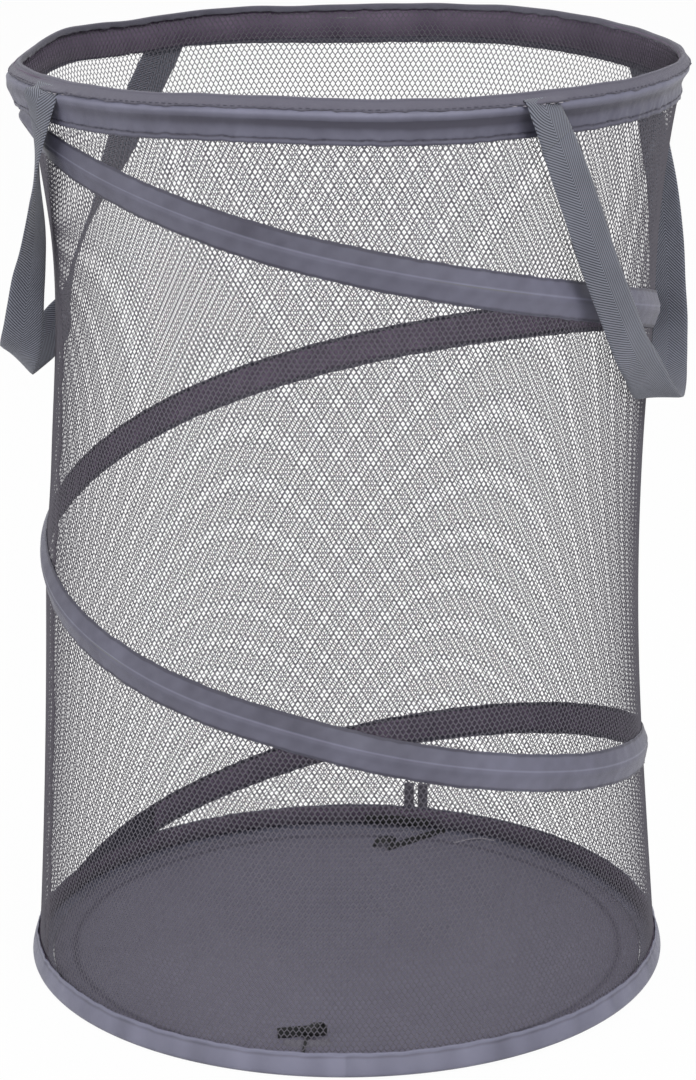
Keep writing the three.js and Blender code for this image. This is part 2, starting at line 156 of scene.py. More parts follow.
# Unevenness of each piece: its seed, its shortest and longest pitch, and how many waves.
RIM_FOLDS = Ripple(11, 6 * MM, 30 * MM)
RIM_SWEEP = Ripple(12, 60 * MM, 400 * MM, 6)
RIM_RAGGED = Ripple(13, 8 * MM, 60 * MM)
RIM_PATCHES = Ripple(14, 15 * MM, 200 * MM)
TAPE_PUCKERS = Ripple(21, 5 * MM, 30 * MM)
TAPE_HUMPS = Ripple(22, 40 * MM, 160 * MM, 5)
CASING_RAGGED = Ripple(31, 8 * MM, 60 * MM)
CASING_FOLDS = Ripple(32, 5 * MM, 28 * MM)
CASING_SWAY = Ripple(33, 90 * MM, 500 * MM, 6)
CASING_PATCHES = Ripple(34, 12 * MM, 160 * MM)
# LINING_PAINTED_FOLDS: painted light and shade of soft folds on the flat linings.
LINING_PAINTED_FOLDS = Ripple(35, 12 * MM, 90 * MM)
FOOT_FOLDS = Ripple(41, 8 * MM, 50 * MM)
FOOT_SWAY = Ripple(42, 120 * MM, 500 * MM, 6)
FOOT_PATCHES = Ripple(43, 15 * MM, 200 * MM)
PANEL_DIMPLES = Ripple(51, 60 * MM, 300 * MM, 7)
PANEL_PUCKERS = Ripple(52, 9 * MM, 50 * MM)
SEAM_SWAY = Ripple(61, 50 * MM, 260 * MM, 6)
SEAM_CURL = Ripple(62, 12 * MM, 80 * MM)


@dataclass
class Sheet:
    """A grid of points with a place on the cloth for each: rows run along it, and columns across
    it and round its back, so that each row closes."""

    points: Array
    along: Array
    across: Array
    shade: Array | None = None
    loop_rows: bool = False
    capped: bool = False

    def faces(self) -> tuple[Array, Array, Array]:
        """Quads between neighbouring rows and columns, with the row and column of each corner.

        Returns:
            Vertex numbers, unwrapped rows and unwrapped columns, each an (n, 4) array.
        """
        rows, columns = self.points.shape[:2]
        row, column = np.meshgrid(
            np.arange(rows if self.loop_rows else rows - 1),
            np.arange(columns),
            indexing="ij",
        )
        at_row = np.stack([row, row + 1, row + 1, row], -1).reshape(-1, 4)
        at_column = np.stack([column, column, column + 1, column + 1], -1).reshape(-1, 4)
        return (at_row % rows) * columns + at_column % columns, at_row, at_column

    def inside_out(self, quads: Array) -> bool:
        """Whether the volume inside, summed over the quads' halves, comes out negative.

        Args:
            quads: (n, 4) vertex numbers.

        Returns:
            True where the faces point inwards.
        """
        points = self.points.reshape(-1, 3) - self.points.reshape(-1, 3).mean(axis=0)
        a, b, c, d = (points[quads[:, n]] for n in range(4))
        return float(np.sum(np.cross(a, b) * c) + np.sum(np.cross(a, c) * d)) < 0.0

    def build(self, name: str) -> bpy.types.Object:
        """Turns the grid into an object, with its place on the cloth as its UV map.

        Args:
            name: the piece's name.

        Returns:
            The new object.
        """
        rows, columns = self.points.shape[:2]
        quads, at_row, at_column = self.faces()
        way = -1 if self.inside_out(quads) else 1
        uv = np.stack([self.along[at_row], self.across[at_column]], -1)[:, ::way].reshape(-1, 2)
        groups = [quads[:, ::way]]
        if self.capped:
            first, last = np.arange(columns)[::way], np.arange(columns)[::-way]
            groups += [first[None, :], (rows - 1) * columns + last[None, :]]
            ends = np.repeat([self.along[0], self.along[rows - 1]], columns)
            middle = self.across[np.concatenate([first, last])]
            uv = np.concatenate([uv, np.stack([ends, middle], -1)])
        shade = None if self.shade is None else self.shade.reshape(-1)
        return mesh_object(name, self.points.reshape(-1, 3), groups, uv, shade)


def mesh_object(
    name: str,
    points: Array,
    groups: list[Array],
    uv: Array | None = None,
    shade: Array | None = None,
) -> bpy.types.Object:
    """Makes a smooth object from whole arrays.

    Args:
        name: the piece's name.
        points: (n, 3) places in the part's frame.
        groups: arrays of faces, one array for each number of corners.
        uv: a place on the cloth for each corner of each face, in order.
        shade: a number for each point, read by the finishes: painted light and shade, and darker
            seams.

    Returns:
        The new object, linked to the scene.
    """
    corners = np.concatenate([g.reshape(-1) for g in groups]).astype(np.int32)
    counts = np.concatenate([np.full(len(g), g.shape[1]) for g in groups])
    starts = (np.cumsum(counts) - counts).astype(np.int32)
    mesh = bpy.data.meshes.new(name)
    mesh.vertices.add(len(points))
    mesh.vertices.foreach_set("co", points.astype(np.float32).ravel())
    mesh.loops.add(len(corners))
    mesh.loops.foreach_set("vertex_index", corners)
    mesh.polygons.add(len(counts))
    mesh.polygons.foreach_set("loop_start", starts)
    mesh.polygons.foreach_set("use_smooth", np.ones(len(counts), bool))
    if uv is not None:
        layer = mesh.uv_layers.new(name="cloth")
        layer.data.foreach_set("uv", uv.astype(np.float32).ravel())
    if shade is not None:
        attribute = mesh.attributes.new("shade", "FLOAT", "POINT")
        attribute.data.foreach_set("value", shade.astype(np.float32))
    mesh.update(calc_edges=True)
    mesh.validate()
    piece = bpy.data.objects.new(name, mesh)
    bpy.context.scene.collection.objects.link(piece)
    return piece


def ribbon_section(width: float, thickness: float, steps: int) -> tuple[Array, Array]:
    """Closed section of a flat strip with rounded edges, out along one face and back on the other.

    Args:
        width: across the strip.
        thickness: through the strip.
        steps: columns on each face.

    Returns:
        Places across the strip and through it.
    """
    share = np.linspace(-1.0, 1.0, steps)
    bow = np.sqrt(np.maximum(1.0 - np.abs(share) ** 12, 0.0))
    across = np.concatenate([share, share[::-1]]) * width / 2.0
    through = np.concatenate([bow, -bow[::-1]]) * thickness / 2.0
    through[[0, steps - 1, steps, -1]] = np.array([1, 1, -1, -1]) * thickness / 6.0
    return across, through


def curve(points: Array, rows: int) -> Array:
    """Catmull-Rom curve: each stretch is a cubic through its two ends, whose slopes there are
    half the step between the points before and after.

    Args:
        points: (n, k) places that it passes through.
        rows: how many places it has.

    Returns:
        (rows, k) places, evenly spread over the stretches.
    """
    padded = np.concatenate([2 * points[:1] - points[1:2], points,
                             2 * points[-1:] - points[-2:-1]])
    place = np.linspace(0.0, len(points) - 1.0, rows)
    first = np.minimum(place.astype(int), len(points) - 2)
    t = (place - first)[:, None]
    a, b, c, d = (padded[first + n] for n in range(4))
    return 0.5 * (2 * b + (c - a) * t + (2 * a - 5 * b + 4 * c - d) * t**2
                  + (3 * b - a - 3 * c + d) * t**3)


def distances(path: Array) -> Array:
    """How far along a path each of its points lies."""
    return np.append(0.0, np.cumsum(np.linalg.norm(np.diff(path, axis=0), axis=1)))


def swept(centre: Array, out: Array, side: Array, across: Array, through: Array) -> Array:
    """Carries a section along a path: centre plus side times across plus out times through.

    Args:
        centre: (n, 3) places on the path.
        out, side: (n, 3) directions through and across the section.
        across, through: (n, m) places in the section.

    Returns:
        (n, m, 3) points.
    """
    return (
        centre[:, None, :]
        + side[:, None, :] * across[..., None]
        + out[:, None, :] * through[..., None]
    )


# The drum


# A wave round the rim: how often it repeats, its rise and its phase in radians
Wave = tuple[int, float, float]
# A local rise: the bearing of its middle, its half width in degrees and its height
Hump = tuple[float, float, float]


@dataclass(frozen=True)
class Drum:
    """The hamper's own form: two rings, the spiral between them, and the taut net on it."""

    height: float = 577.3 * MM
    tilt: float = 0.005
    ring_radius: float = 200 * MM
    band_radius: float = 197.9 * MM
    spiral_net_radius: float = 187.5 * MM
    rim_band: float = 26.3 * MM
    foot_band: float = 15 * MM
    pitch: float = 282.5 * MM
    top_drop: float = 20 * MM
    start_degrees: float = -90.0
    blend_height: float = 45 * MM
    sag: float = 11 * MM
    sag_height: float = 414 * MM
    sag_span: float = 280 * MM
    sag_power: float = 1.75
    spiral_sink: float = 2 * MM
    spiral_rise: float = 9 * MM
    spiral_settle: float = 2.5 * MM
    spiral_lift: float = 2.6 * MM
    spiral_plunge: float = 11 * MM
    sink_turn: tuple[float, float] = (250, 310)
    rise_turn: tuple[float, float] = (405, 465)
    settle_turn: tuple[float, float] = (480, 540)
    lift_turn: tuple[float, float] = (-20, 60)
    lower_turn: tuple[float, float] = (200, 260)
    plunge_turn: tuple[float, float] = (540, 620)
    spiral_humps: tuple[Hump, ...] = ((-52, 22, 1.7 * MM), (350, 18, 1.9 * MM))
    rim_raise: float = 0.9 * MM
    rim_waves: tuple[Wave, ...] = (
        (1, 0.9 * MM, 0.0), (2, 1.9 * MM, math.pi / 2.0), (2, -0.6 * MM, 0.0),
        (3, -1.2 * MM, 0.0), (5, 0.4 * MM, 2.1), (8, 0.3 * MM, 4.0),
    )
    rim_humps: tuple[Hump, ...] = (
        (42, 24, 2.4 * MM), (147, 22, 3.4 * MM), (-117, 12.5, 5.2 * MM), (-72, 16, 2.2 * MM),
    )
    pinch_depth: float = 7 * MM
    pinch_degrees: float = -88.0
    pinch_half_degrees: float = 36.0
    pinch_foot: tuple[float, float] = (330 * MM, 480 * MM)
    pinch_head: tuple[float, float] = (528 * MM, 560 * MM)

    @property
    def rim_low(self) -> float:
        """Lower edge of the rim sleeve."""
        return self.height - self.rim_band

    def at(self, radius: Array, bearing: Array, height: Array) -> Array:
        """Places on the drum: x is radius times sine, y is minus radius times cosine of the
        bearing, and the height gains a little towards +X, as the hamper stands.

        Args:
            radius, bearing, height: places round the axis, in shapes that broadcast.

        Returns:
            Points, with x, y and z last.
        """
        x, y, z = np.broadcast_arrays(
            radius * sine(bearing), -radius * cosine(bearing), height
        )
        return np.stack([x, y, z + self.tilt * (x + self.ring_radius)], -1)

    def wave(self, bearing: Array) -> Array:
        """Height of the rim's own unevenness: sines round it, which raise the front and back over
        the sides, and humps where the spring pushes it up.

        Args:
            bearing: bearings.

        Returns:
            Rise at each.
        """
        arc = np.radians(bearing)
        waves = sum(rise * np.sin(count * arc + phase) for count, rise, phase in self.rim_waves)
        humps = sum(
            rise * bell(self.turned(bearing, middle), 0.0, half)
            for middle, half, rise in self.rim_humps
        )
        return self.rim_raise + waves + humps

    def turned(self, bearing: Array, middle: float) -> Array:
        """Degrees from a bearing, between -180 and 180."""
        return (bearing - middle + 180.0) % 360.0 - 180.0

    def walked(self, bearing: Array) -> Array:
        """Distance round the ring to a bearing."""
        return np.radians(bearing) * self.ring_radius

    def near_pinch(self, bearing: Array) -> Array:
        """1 where the spiral starts, falling off on both sides."""
        return bell(self.turned(bearing, self.pinch_degrees), 0.0, self.pinch_half_degrees)

    def pinch(self, bearing: Array, height: Array) -> Array:
        """How far the net and the sleeve's hem are drawn in where the spiral starts."""
        rise = ramp(height, *self.pinch_foot) * (1.0 - ramp(height, *self.pinch_head))
        return self.pinch_depth * self.near_pinch(bearing) * rise

    def out(self, bearing: Array) -> Array:
        """Level direction away from the axis."""
        return np.stack([sine(bearing), -cosine(bearing), np.zeros(np.shape(bearing))], -1)

    def round(self, bearing: Array) -> Array:
        """Level direction along the drum, towards a larger bearing."""
        return np.stack([cosine(bearing), sine(bearing), np.zeros(np.shape(bearing))], -1)

    def spiral_height(self, bearing: Array) -> Array:
        """Height of the spiral's wire: an even fall, but for a flatter stretch at the right of
        the second turn, between two where it has sunk a little.

        Args:
            bearing: bearings, which go on past 360 on the second turn.

        Returns:
            Height at each.
        """
        turns = (bearing - self.start_degrees) / 360.0
        even = self.height - self.top_drop - self.pitch * turns
        sunk = self.spiral_sink * ramp(bearing, *self.sink_turn)
        sunk = sunk + self.spiral_settle * ramp(bearing, *self.settle_turn)
        lift = self.spiral_lift * ramp(bearing, *self.lift_turn)
        lift = lift * (1.0 - ramp(bearing, *self.lower_turn))
        humps = sum(rise * bell(bearing, middle, half) for middle, half, rise in self.spiral_humps)
        plunge = self.spiral_plunge * ramp(bearing, *self.plunge_turn)
        rise = self.spiral_rise * ramp(bearing, *self.rise_turn)
        return even - sunk + lift + humps - plunge + rise

    def stretch(self, height: Array, low: Array, high: Array, from_: Array, to: Array) -> Array:
        """Net between two supports: a straight line less a bow that is largest half way, and
        that grows with the span's square and with the height.

        Args:
            height: heights asked for.
            low, high: heights of the two supports.
            from_, to: radii at the lower and the upper support.

        Returns:
            Radii, at each height.
        """
        span = np.maximum(high - low, 1e-6)
        share = np.clip((height - low) / span, 0.0, 1.0)
        reach = self.sag * ((low + high) / 2.0 / self.sag_height) ** self.sag_power
        bow = 4.0 * share * (1.0 - share) * reach * (span / self.sag_span) ** 2
        return from_ + (to - from_) * share - bow

    def net_radius(self, bearing: Array, height: Array) -> Array:
        """Radius of the net: it is stretched from the foot over two turns of the spiral to the
        rim, and it is straight inside both sleeves.

        Args:
            bearing, height: places, in shapes that broadcast.

        Returns:
            Radius at each.
        """
        bearing, height = np.broadcast_arrays(
            np.asarray(bearing, float), np.asarray(height, float)
        )
        turned = (bearing - self.start_degrees) % 360.0 + self.start_degrees
        upper = np.minimum(self.spiral_height(turned), self.rim_low)
        lower = np.maximum(self.spiral_height(turned + 360.0), self.foot_band)
        free = self.band_radius - self.spiral_net_radius
        at_upper = self.band_radius - free * ramp(self.rim_low - upper, 0.0, self.blend_height)
        at_lower = self.band_radius - free * ramp(lower - self.foot_band, 0.0, self.blend_height)
        top = self.stretch(height, upper, np.full_like(upper, self.rim_low), at_upper,
                           np.full_like(upper, self.band_radius))
        middle = self.stretch(height, lower, upper, at_lower, at_upper)
        foot = self.stretch(height, np.full_like(lower, self.foot_band), lower,
                            np.full_like(lower, self.band_radius), at_lower)
        chosen = np.where(height >= upper, top, np.where(height >= lower, middle, foot))
        inside = (height >= self.rim_low) | (height <= self.foot_band)
        return np.where(inside, self.band_radius, chosen) - self.pinch(bearing, height)


DRUM = Drum()


# Shaders


class Value:
    """A shader number whose operators add Math nodes."""

    def __init__(self, shader: Shader, socket: bpy.types.NodeSocket) -> None:
        """Wraps one output socket of a shader."""
        self.shader = shader
        self.socket = socket

    def maths(self, operation: str, *others: Value | float, swap: bool = False) -> Value:
        """Adds a Math node on this value and others, in turned order where swap is set."""
        terms = [self, *others][:: -1 if swap else 1]
        return self.shader.node("ShaderNodeMath", {"operation": operation}, *terms)

    def __add__(self, other: Value | float) -> Value:
        """Sum."""
        return self.maths("ADD", other)

    __radd__ = __add__

    def __sub__(self, other: Value | float) -> Value:
        """Difference."""
        return self.maths("SUBTRACT", other)

    def __rsub__(self, other: float) -> Value:
        """Difference from a number."""
        return self.maths("SUBTRACT", other, swap=True)

    def __mul__(self, other: Value | float) -> Value:
        """Product."""
        return self.maths("MULTIPLY", other)

    __rmul__ = __mul__

    def __truediv__(self, other: Value | float) -> Value:
        """Quotient."""
        return self.maths("DIVIDE", other)

    def sine(self) -> Value:
        """Sine, in radians."""
        return self.maths("SINE")

    def size(self) -> Value:
        """Absolute value."""
        return self.maths("ABSOLUTE")


class Shader:
    """One material and the nodes in it."""

    def __init__(self, name: str, tree: bpy.types.NodeTree | None = None) -> None:
        """Starts a material with a Principled BSDF on its output, unless a tree is given.

        Args:
            name: the material's name.
            tree: a node tree to work in instead of a new one.
        """
        self.tree = tree
        if tree is None:
            self.material = bpy.data.materials.new(name)
            self.material.use_nodes = True
            self.tree = self.material.node_tree
            self.surface = self.tree.nodes["Principled BSDF"]

    def node(self, kind: str, settings: dict, *values: object, out: object = 0,
             **named: object) -> Value:
        """Adds any node.

        Args:
            kind: the node's type.
            settings: properties that are set before its sockets.
            values: values or links of its first sockets, in order.
            out: name or number of the output that is returned.
            named: values or links of sockets by name, with _ for a space.

        Returns:
            One output of the node.
        """
        node = self.tree.nodes.new(kind)
        for key, value in settings.items():
            setattr(node, key, value)
        pairs = [*enumerate(values), *((k.replace("_", " "), v) for k, v in named.items())]
        for key, value in pairs:
            self.feed(node.inputs[key], value)
        return Value(self, node.outputs[out])

    def feed(self, socket: bpy.types.NodeSocket, value: object) -> None:
        """Links a value to a socket, or sets the socket to it.

        Args:
            socket: an input.
            value: a shader value, a constant, or None to leave it.
        """
        if isinstance(value, Value):
            self.tree.links.new(value.socket, socket)
        elif value is not None:
            socket.default_value = value

    def cloth(self) -> tuple[Value, Value]:
        """Places along and across the cloth, in metres.

        Returns:
            The two values.
        """
        both = self.node("ShaderNodeUVMap", {"uv_map": "cloth"})
        along = self.node("ShaderNodeSeparateXYZ", {}, both)
        return along, Value(self, along.socket.node.outputs["Y"])

    def shade(self) -> Value:
        """The piece's shade attribute, painted light and shade and darker seams: 0 where nothing is
        changed.
        """
        return self.node("ShaderNodeAttribute", {"attribute_name": "shade"}, out="Fac")

    def place(self) -> Value:
        """Object coordinates."""
        return self.node("ShaderNodeTexCoord", {}, out="Object")

    def noise(self, place: Value, scale: float, detail: float = 3.0) -> Value:
        """Noise of a scale, counted per metre."""
        return self.node("ShaderNodeTexNoise", {}, Vector=place, Scale=scale, Detail=detail)

    def mix(self, factor: Value | float, first: object, second: object) -> Value:
        """Mixes two colours.

        Args:
            factor: share of the second colour.
            first, second: colours or links.

        Returns:
            The mixed colour.
        """
        settings = {"data_type": "RGBA", "clamp_factor": True}
        node = self.node("ShaderNodeMix", settings, out="Result")
        sockets = node.socket.node.inputs
        for place, value in ((0, factor), (6, first), (7, second)):
            self.feed(sockets[place], value)
        return Value(self, node.socket.node.outputs[2])

    def bump(self, height: Value, distance: float, strength: float = 1.0) -> None:
        """Feeds a height, in shares of a distance in metres, to the normal.

        Args:
            height: the relief.
            distance: how high a relief of 1 is.
            strength: share of the effect.
        """
        normal = self.node("ShaderNodeBump", {}, Height=height, Distance=distance,
                           Strength=strength, out="Normal")
        self.feed(self.surface.inputs["Normal"], normal)

    def set(self, **inputs: object) -> bpy.types.Material:
        """Sets or links the surface's sockets by name and returns the material.

        Args:
            inputs: values or links by the socket's name, with _ for a space.

        Returns:
            The material.
        """
        for key, value in inputs.items():
            self.feed(self.surface.inputs[key.replace("_", " ")], value)
        return self.material


Colour = tuple[float, float, float, float]


def paint(red: int, green: int, blue: int) -> Colour:
    """A colour as it looks on a screen, 0 to 255, as the light values that shaders take.

    Args:
        red, green, blue: levels.

    Returns:
        Light values, with an alpha of 1.
    """
    levels = np.array([red, green, blue]) / 255.0
    light = np.where(levels <= 0.04045, levels / 12.92, ((levels + 0.055) / 1.055) ** 2.4)
    return (*light.tolist(), 1.0)


@dataclass(frozen=True)
class Cloth:
    """Plain woven cloth: a fine weave, soft blotches, darker stitched places, and painted light and
    shade from each piece's shade attribute.
    """

    name: str
    light: Colour
    dark: Colour
    roughness: float = 0.6
    sheen: float = 0.15
    weave_pitch: float = 0.5 * MM
    weave_depth: float = 0.05 * MM
    blotch: float = 0.35
    blotch_pitch: float = 40 * MM

    def material(self) -> bpy.types.Material:
        """Crossed sines make the weave, and two noises shift the colour about the middle one.

        Returns:
            The material.
        """
        shader = Shader(self.name)
        along, across = shader.cloth()
        turn = 2.0 * math.pi / self.weave_pitch
        weave = (along * turn).sine() * (across * turn).sine()
        place = shader.place()
        wide = shader.noise(place, 1.0 / self.blotch_pitch, 2.0)
        fine = shader.noise(place, 8.0 / self.blotch_pitch, 4.0)
        uneven = (wide - 0.5) * self.blotch + (fine - 0.5) * (self.blotch * 0.6)
        # The shade attribute holds painted highlights (below 0) and painted shade (above 0), as well
        # as darker seams.
        amount = shader.shade() + uneven + weave * 0.05 + 0.45
        shader.bump(weave * 0.5 + fine * 2.0, self.weave_depth)
        return shader.set(
            Base_Color=shader.mix(amount, self.light, self.dark),
            Roughness=fine * 0.2 + (self.roughness - 0.1),
            Sheen_Weight=self.sheen,
            Sheen_Roughness=0.4,
        )


@dataclass(frozen=True)
class Tape:
    """Binding tape: crosswise ribs crossed by a coarse slanted knit."""

    name: str
    colour: Colour
    dark: Colour
    rib_pitch: float = 1.1 * MM
    depth: float = 0.12 * MM

    def material(self) -> bpy.types.Material:
        """Ribs are sines along the tape, broken up by slanted ones and by noise.

        Returns:
            The material.
        """
        shader = Shader(self.name)
        along, across = shader.cloth()
        turn = 2.0 * math.pi / self.rib_pitch
        ribs = ((along + across) * turn).sine() * ((along - across) * turn).sine()
        fine = shader.noise(shader.place(), 700.0, 3.0)
        wide = shader.noise(shader.place(), 28.0, 2.0)
        relief = ribs * 0.5 + fine
        shader.bump(relief, self.depth)
        # Darker between the ribs as painted shade of the relief, plus uneven tone and the shade
        # attribute.
        amount = shader.shade() + (0.5 - relief) * 0.5 + (wide - 0.5) * 0.7
        return shader.set(
            Base_Color=shader.mix(amount, self.colour, self.dark),
            Roughness=0.75,
            Sheen_Weight=0.15,
            Sheen_Roughness=0.5,
        )


@dataclass(frozen=True)
class Thread:
    """Twisted yarn, for the knitted net and for stitches."""

    name: str
    colour: Colour
    dark: Colour
    roughness: float = 0.7
    depth: float = 0.04 * MM

    def material(self) -> bpy.types.Material:
        """Fine noise gives the fibres, wide noise the uneven dye.

        Returns:
            The material.
        """
        shader = Shader(self.name)
        place = shader.place()
        fibres = shader.noise(place, 2500.0, 2.0)
        dye = shader.noise(place, 18.0, 2.0)
        shader.bump(fibres, self.depth)
        return shader.set(
            Base_Color=shader.mix(fibres * 0.6 + dye * 0.6 - 0.3, self.colour, self.dark),
            Roughness=self.roughness,
        )


@dataclass(frozen=True)
class Herringbone:
    """Twill webbing: slanted cords that meet at a spine down the middle, each one a row of
    rounded floats."""

    name: str
    light: Colour
    dark: Colour
    slant: float = 1.05
    cord_pitch: float = 2.0 * MM
    float_pitch: float = 0.9 * MM
    depth: float = 0.3 * MM

    def material(self) -> bpy.types.Material:
        """A cord is the size of the sine of the place along the webbing plus the distance from
        its spine. The floats are the same, on the opposite slant.

        Returns:
            The material.
        """
        shader = Shader(self.name)
        along, across = shader.cloth()
        spine = across.size() * self.slant
        cord = ((along + spine) * (math.pi / self.cord_pitch)).sine().size()
        floats = ((along - spine) * (math.pi / self.float_pitch)).sine().size()
        relief = cord * (floats * 0.35 + 0.65)
        shader.bump(relief, self.depth)
        worn = shader.noise(shader.place(), 30.0, 2.0)
        # The colour follows the relief: light on the cords and dark between them, painted shade of
        # the weave, plus random wear and the shade attribute.
        amount = relief * 1.25 - 0.2 - shader.shade() + (worn - 0.5) * 0.4
        return shader.set(
            Base_Color=shader.mix(amount, self.dark, self.light),
            Roughness=0.8,
            Sheen_Weight=0.2,
            Sheen_Roughness=0.5,
        )


@dataclass(frozen=True)
class Metal:
    """Drawn spring steel, with faint marks along the wire."""

    name: str
    colour: Colour
    depth: float = 0.02 * MM

    def material(self) -> bpy.types.Material:
        """Noise varies the roughness.

        Returns:
            The material.
        """
        shader = Shader(self.name)
        marks = shader.noise(shader.place(), 400.0, 3.0)
        shader.bump(marks, self.depth)
        return shader.set(Base_Color=self.colour, Metallic=1.0, Roughness=marks * 0.3 + 0.2)


@dataclass(frozen=True)
class Plastic:
    """Moulded plastic with a fine grain."""

    name: str
    colour: Colour
    dark: Colour
    depth: float = 0.03 * MM

    def material(self) -> bpy.types.Material:
        """Noise gives the grain.

        Returns:
            The material.
        """
        shader = Shader(self.name)
        grain = shader.noise(shader.place(), 1500.0, 3.0)
        shader.bump(grain, self.depth)
        return shader.set(Base_Color=shader.mix(grain, self.colour, self.dark), Roughness=0.5)


NYLON = Cloth("coated_nylon", paint(126, 126, 146), paint(62, 60, 75), roughness=0.5, sheen=0.05,
              blotch=0.2)
LINING = Cloth("uncoated_nylon", paint(134, 117, 141), paint(82, 69, 90), roughness=0.8)
PANEL = Cloth("base_cloth", paint(119, 116, 134), paint(88, 84, 102), roughness=0.8, blotch=0.3)
HEM = Cloth("hem_cloth", paint(104, 92, 110), paint(48, 38, 52), roughness=0.8)
BINDING = Tape("binding_tape", paint(94, 92, 106), paint(54, 52, 64))
NET = Thread("net_yarn", paint(100, 97, 106), paint(70, 67, 76))
STITCH = Thread("stitch_thread", paint(80, 78, 92), paint(50, 48, 60))
TACK = Thread("tack_thread", paint(176, 172, 180), paint(128, 122, 132))
WEBBING = Herringbone("herringbone_webbing", paint(138, 141, 155), paint(28, 30, 41))
FADED = Cloth("grey_ribbon", paint(126, 124, 134), paint(92, 89, 100), roughness=0.8, sheen=0.0)
# Black ribbon: the tie tails and knots are real, and their black also stands for the deep shade in
# the gaps by them; the strip along the back foot is painted shadow.
SHADE_BLACK_RIBBON = Cloth("black_ribbon_painted_shade", paint(22, 22, 25), paint(6, 6, 8), roughness=0.7, sheen=0.0,
               weave_pitch=0.9 * MM, weave_depth=0.12 * MM)
STEEL = Metal("spring_steel", paint(120, 121, 124))
CAP = Plastic("cap_plastic", paint(48, 48, 52), paint(30, 30, 34))

MATERIALS: dict[str, bpy.types.Material] = {}


def dress(piece: bpy.types.Object, finish: object, slot: str, body: Body | None,
          *nodes: str) -> bpy.types.Object:
    """Gives a piece its finish and body, and hides the CAD nodes that it stands for.

    Args:
        piece: the object.
        finish: the look, which makes its material once.
        slot: the record's material slot; not used.
        body: what it rides on, or None to leave it unattached.
        nodes: CAD nodes that it replaces.

    Returns:
        The same object.
    """
    if finish.name not in MATERIALS:
        MATERIALS[finish.name] = finish.material()
    piece.data.materials.clear()
    piece.data.materials.append(MATERIALS[finish.name])
    if nodes:
        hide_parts(*nodes)
    if body is not None:
        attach(piece, body.value)
    LOG.info("%s: %d faces", piece.name, len(piece.data.polygons))
    return piece


@dataclass(frozen=True)
class Fold:
    """How far cloth flattens when the hamper is folded."""

    joint: str = "collapse"
    net_top: float = 565 * MM
    keep_share: float = 0.0711

    def squash(self, piece: bpy.types.Object) -> None:
        """Gives a piece of the wall its own copy of its mesh."""
        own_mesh(piece)


FOLD = Fold()


# Sub-assemblies


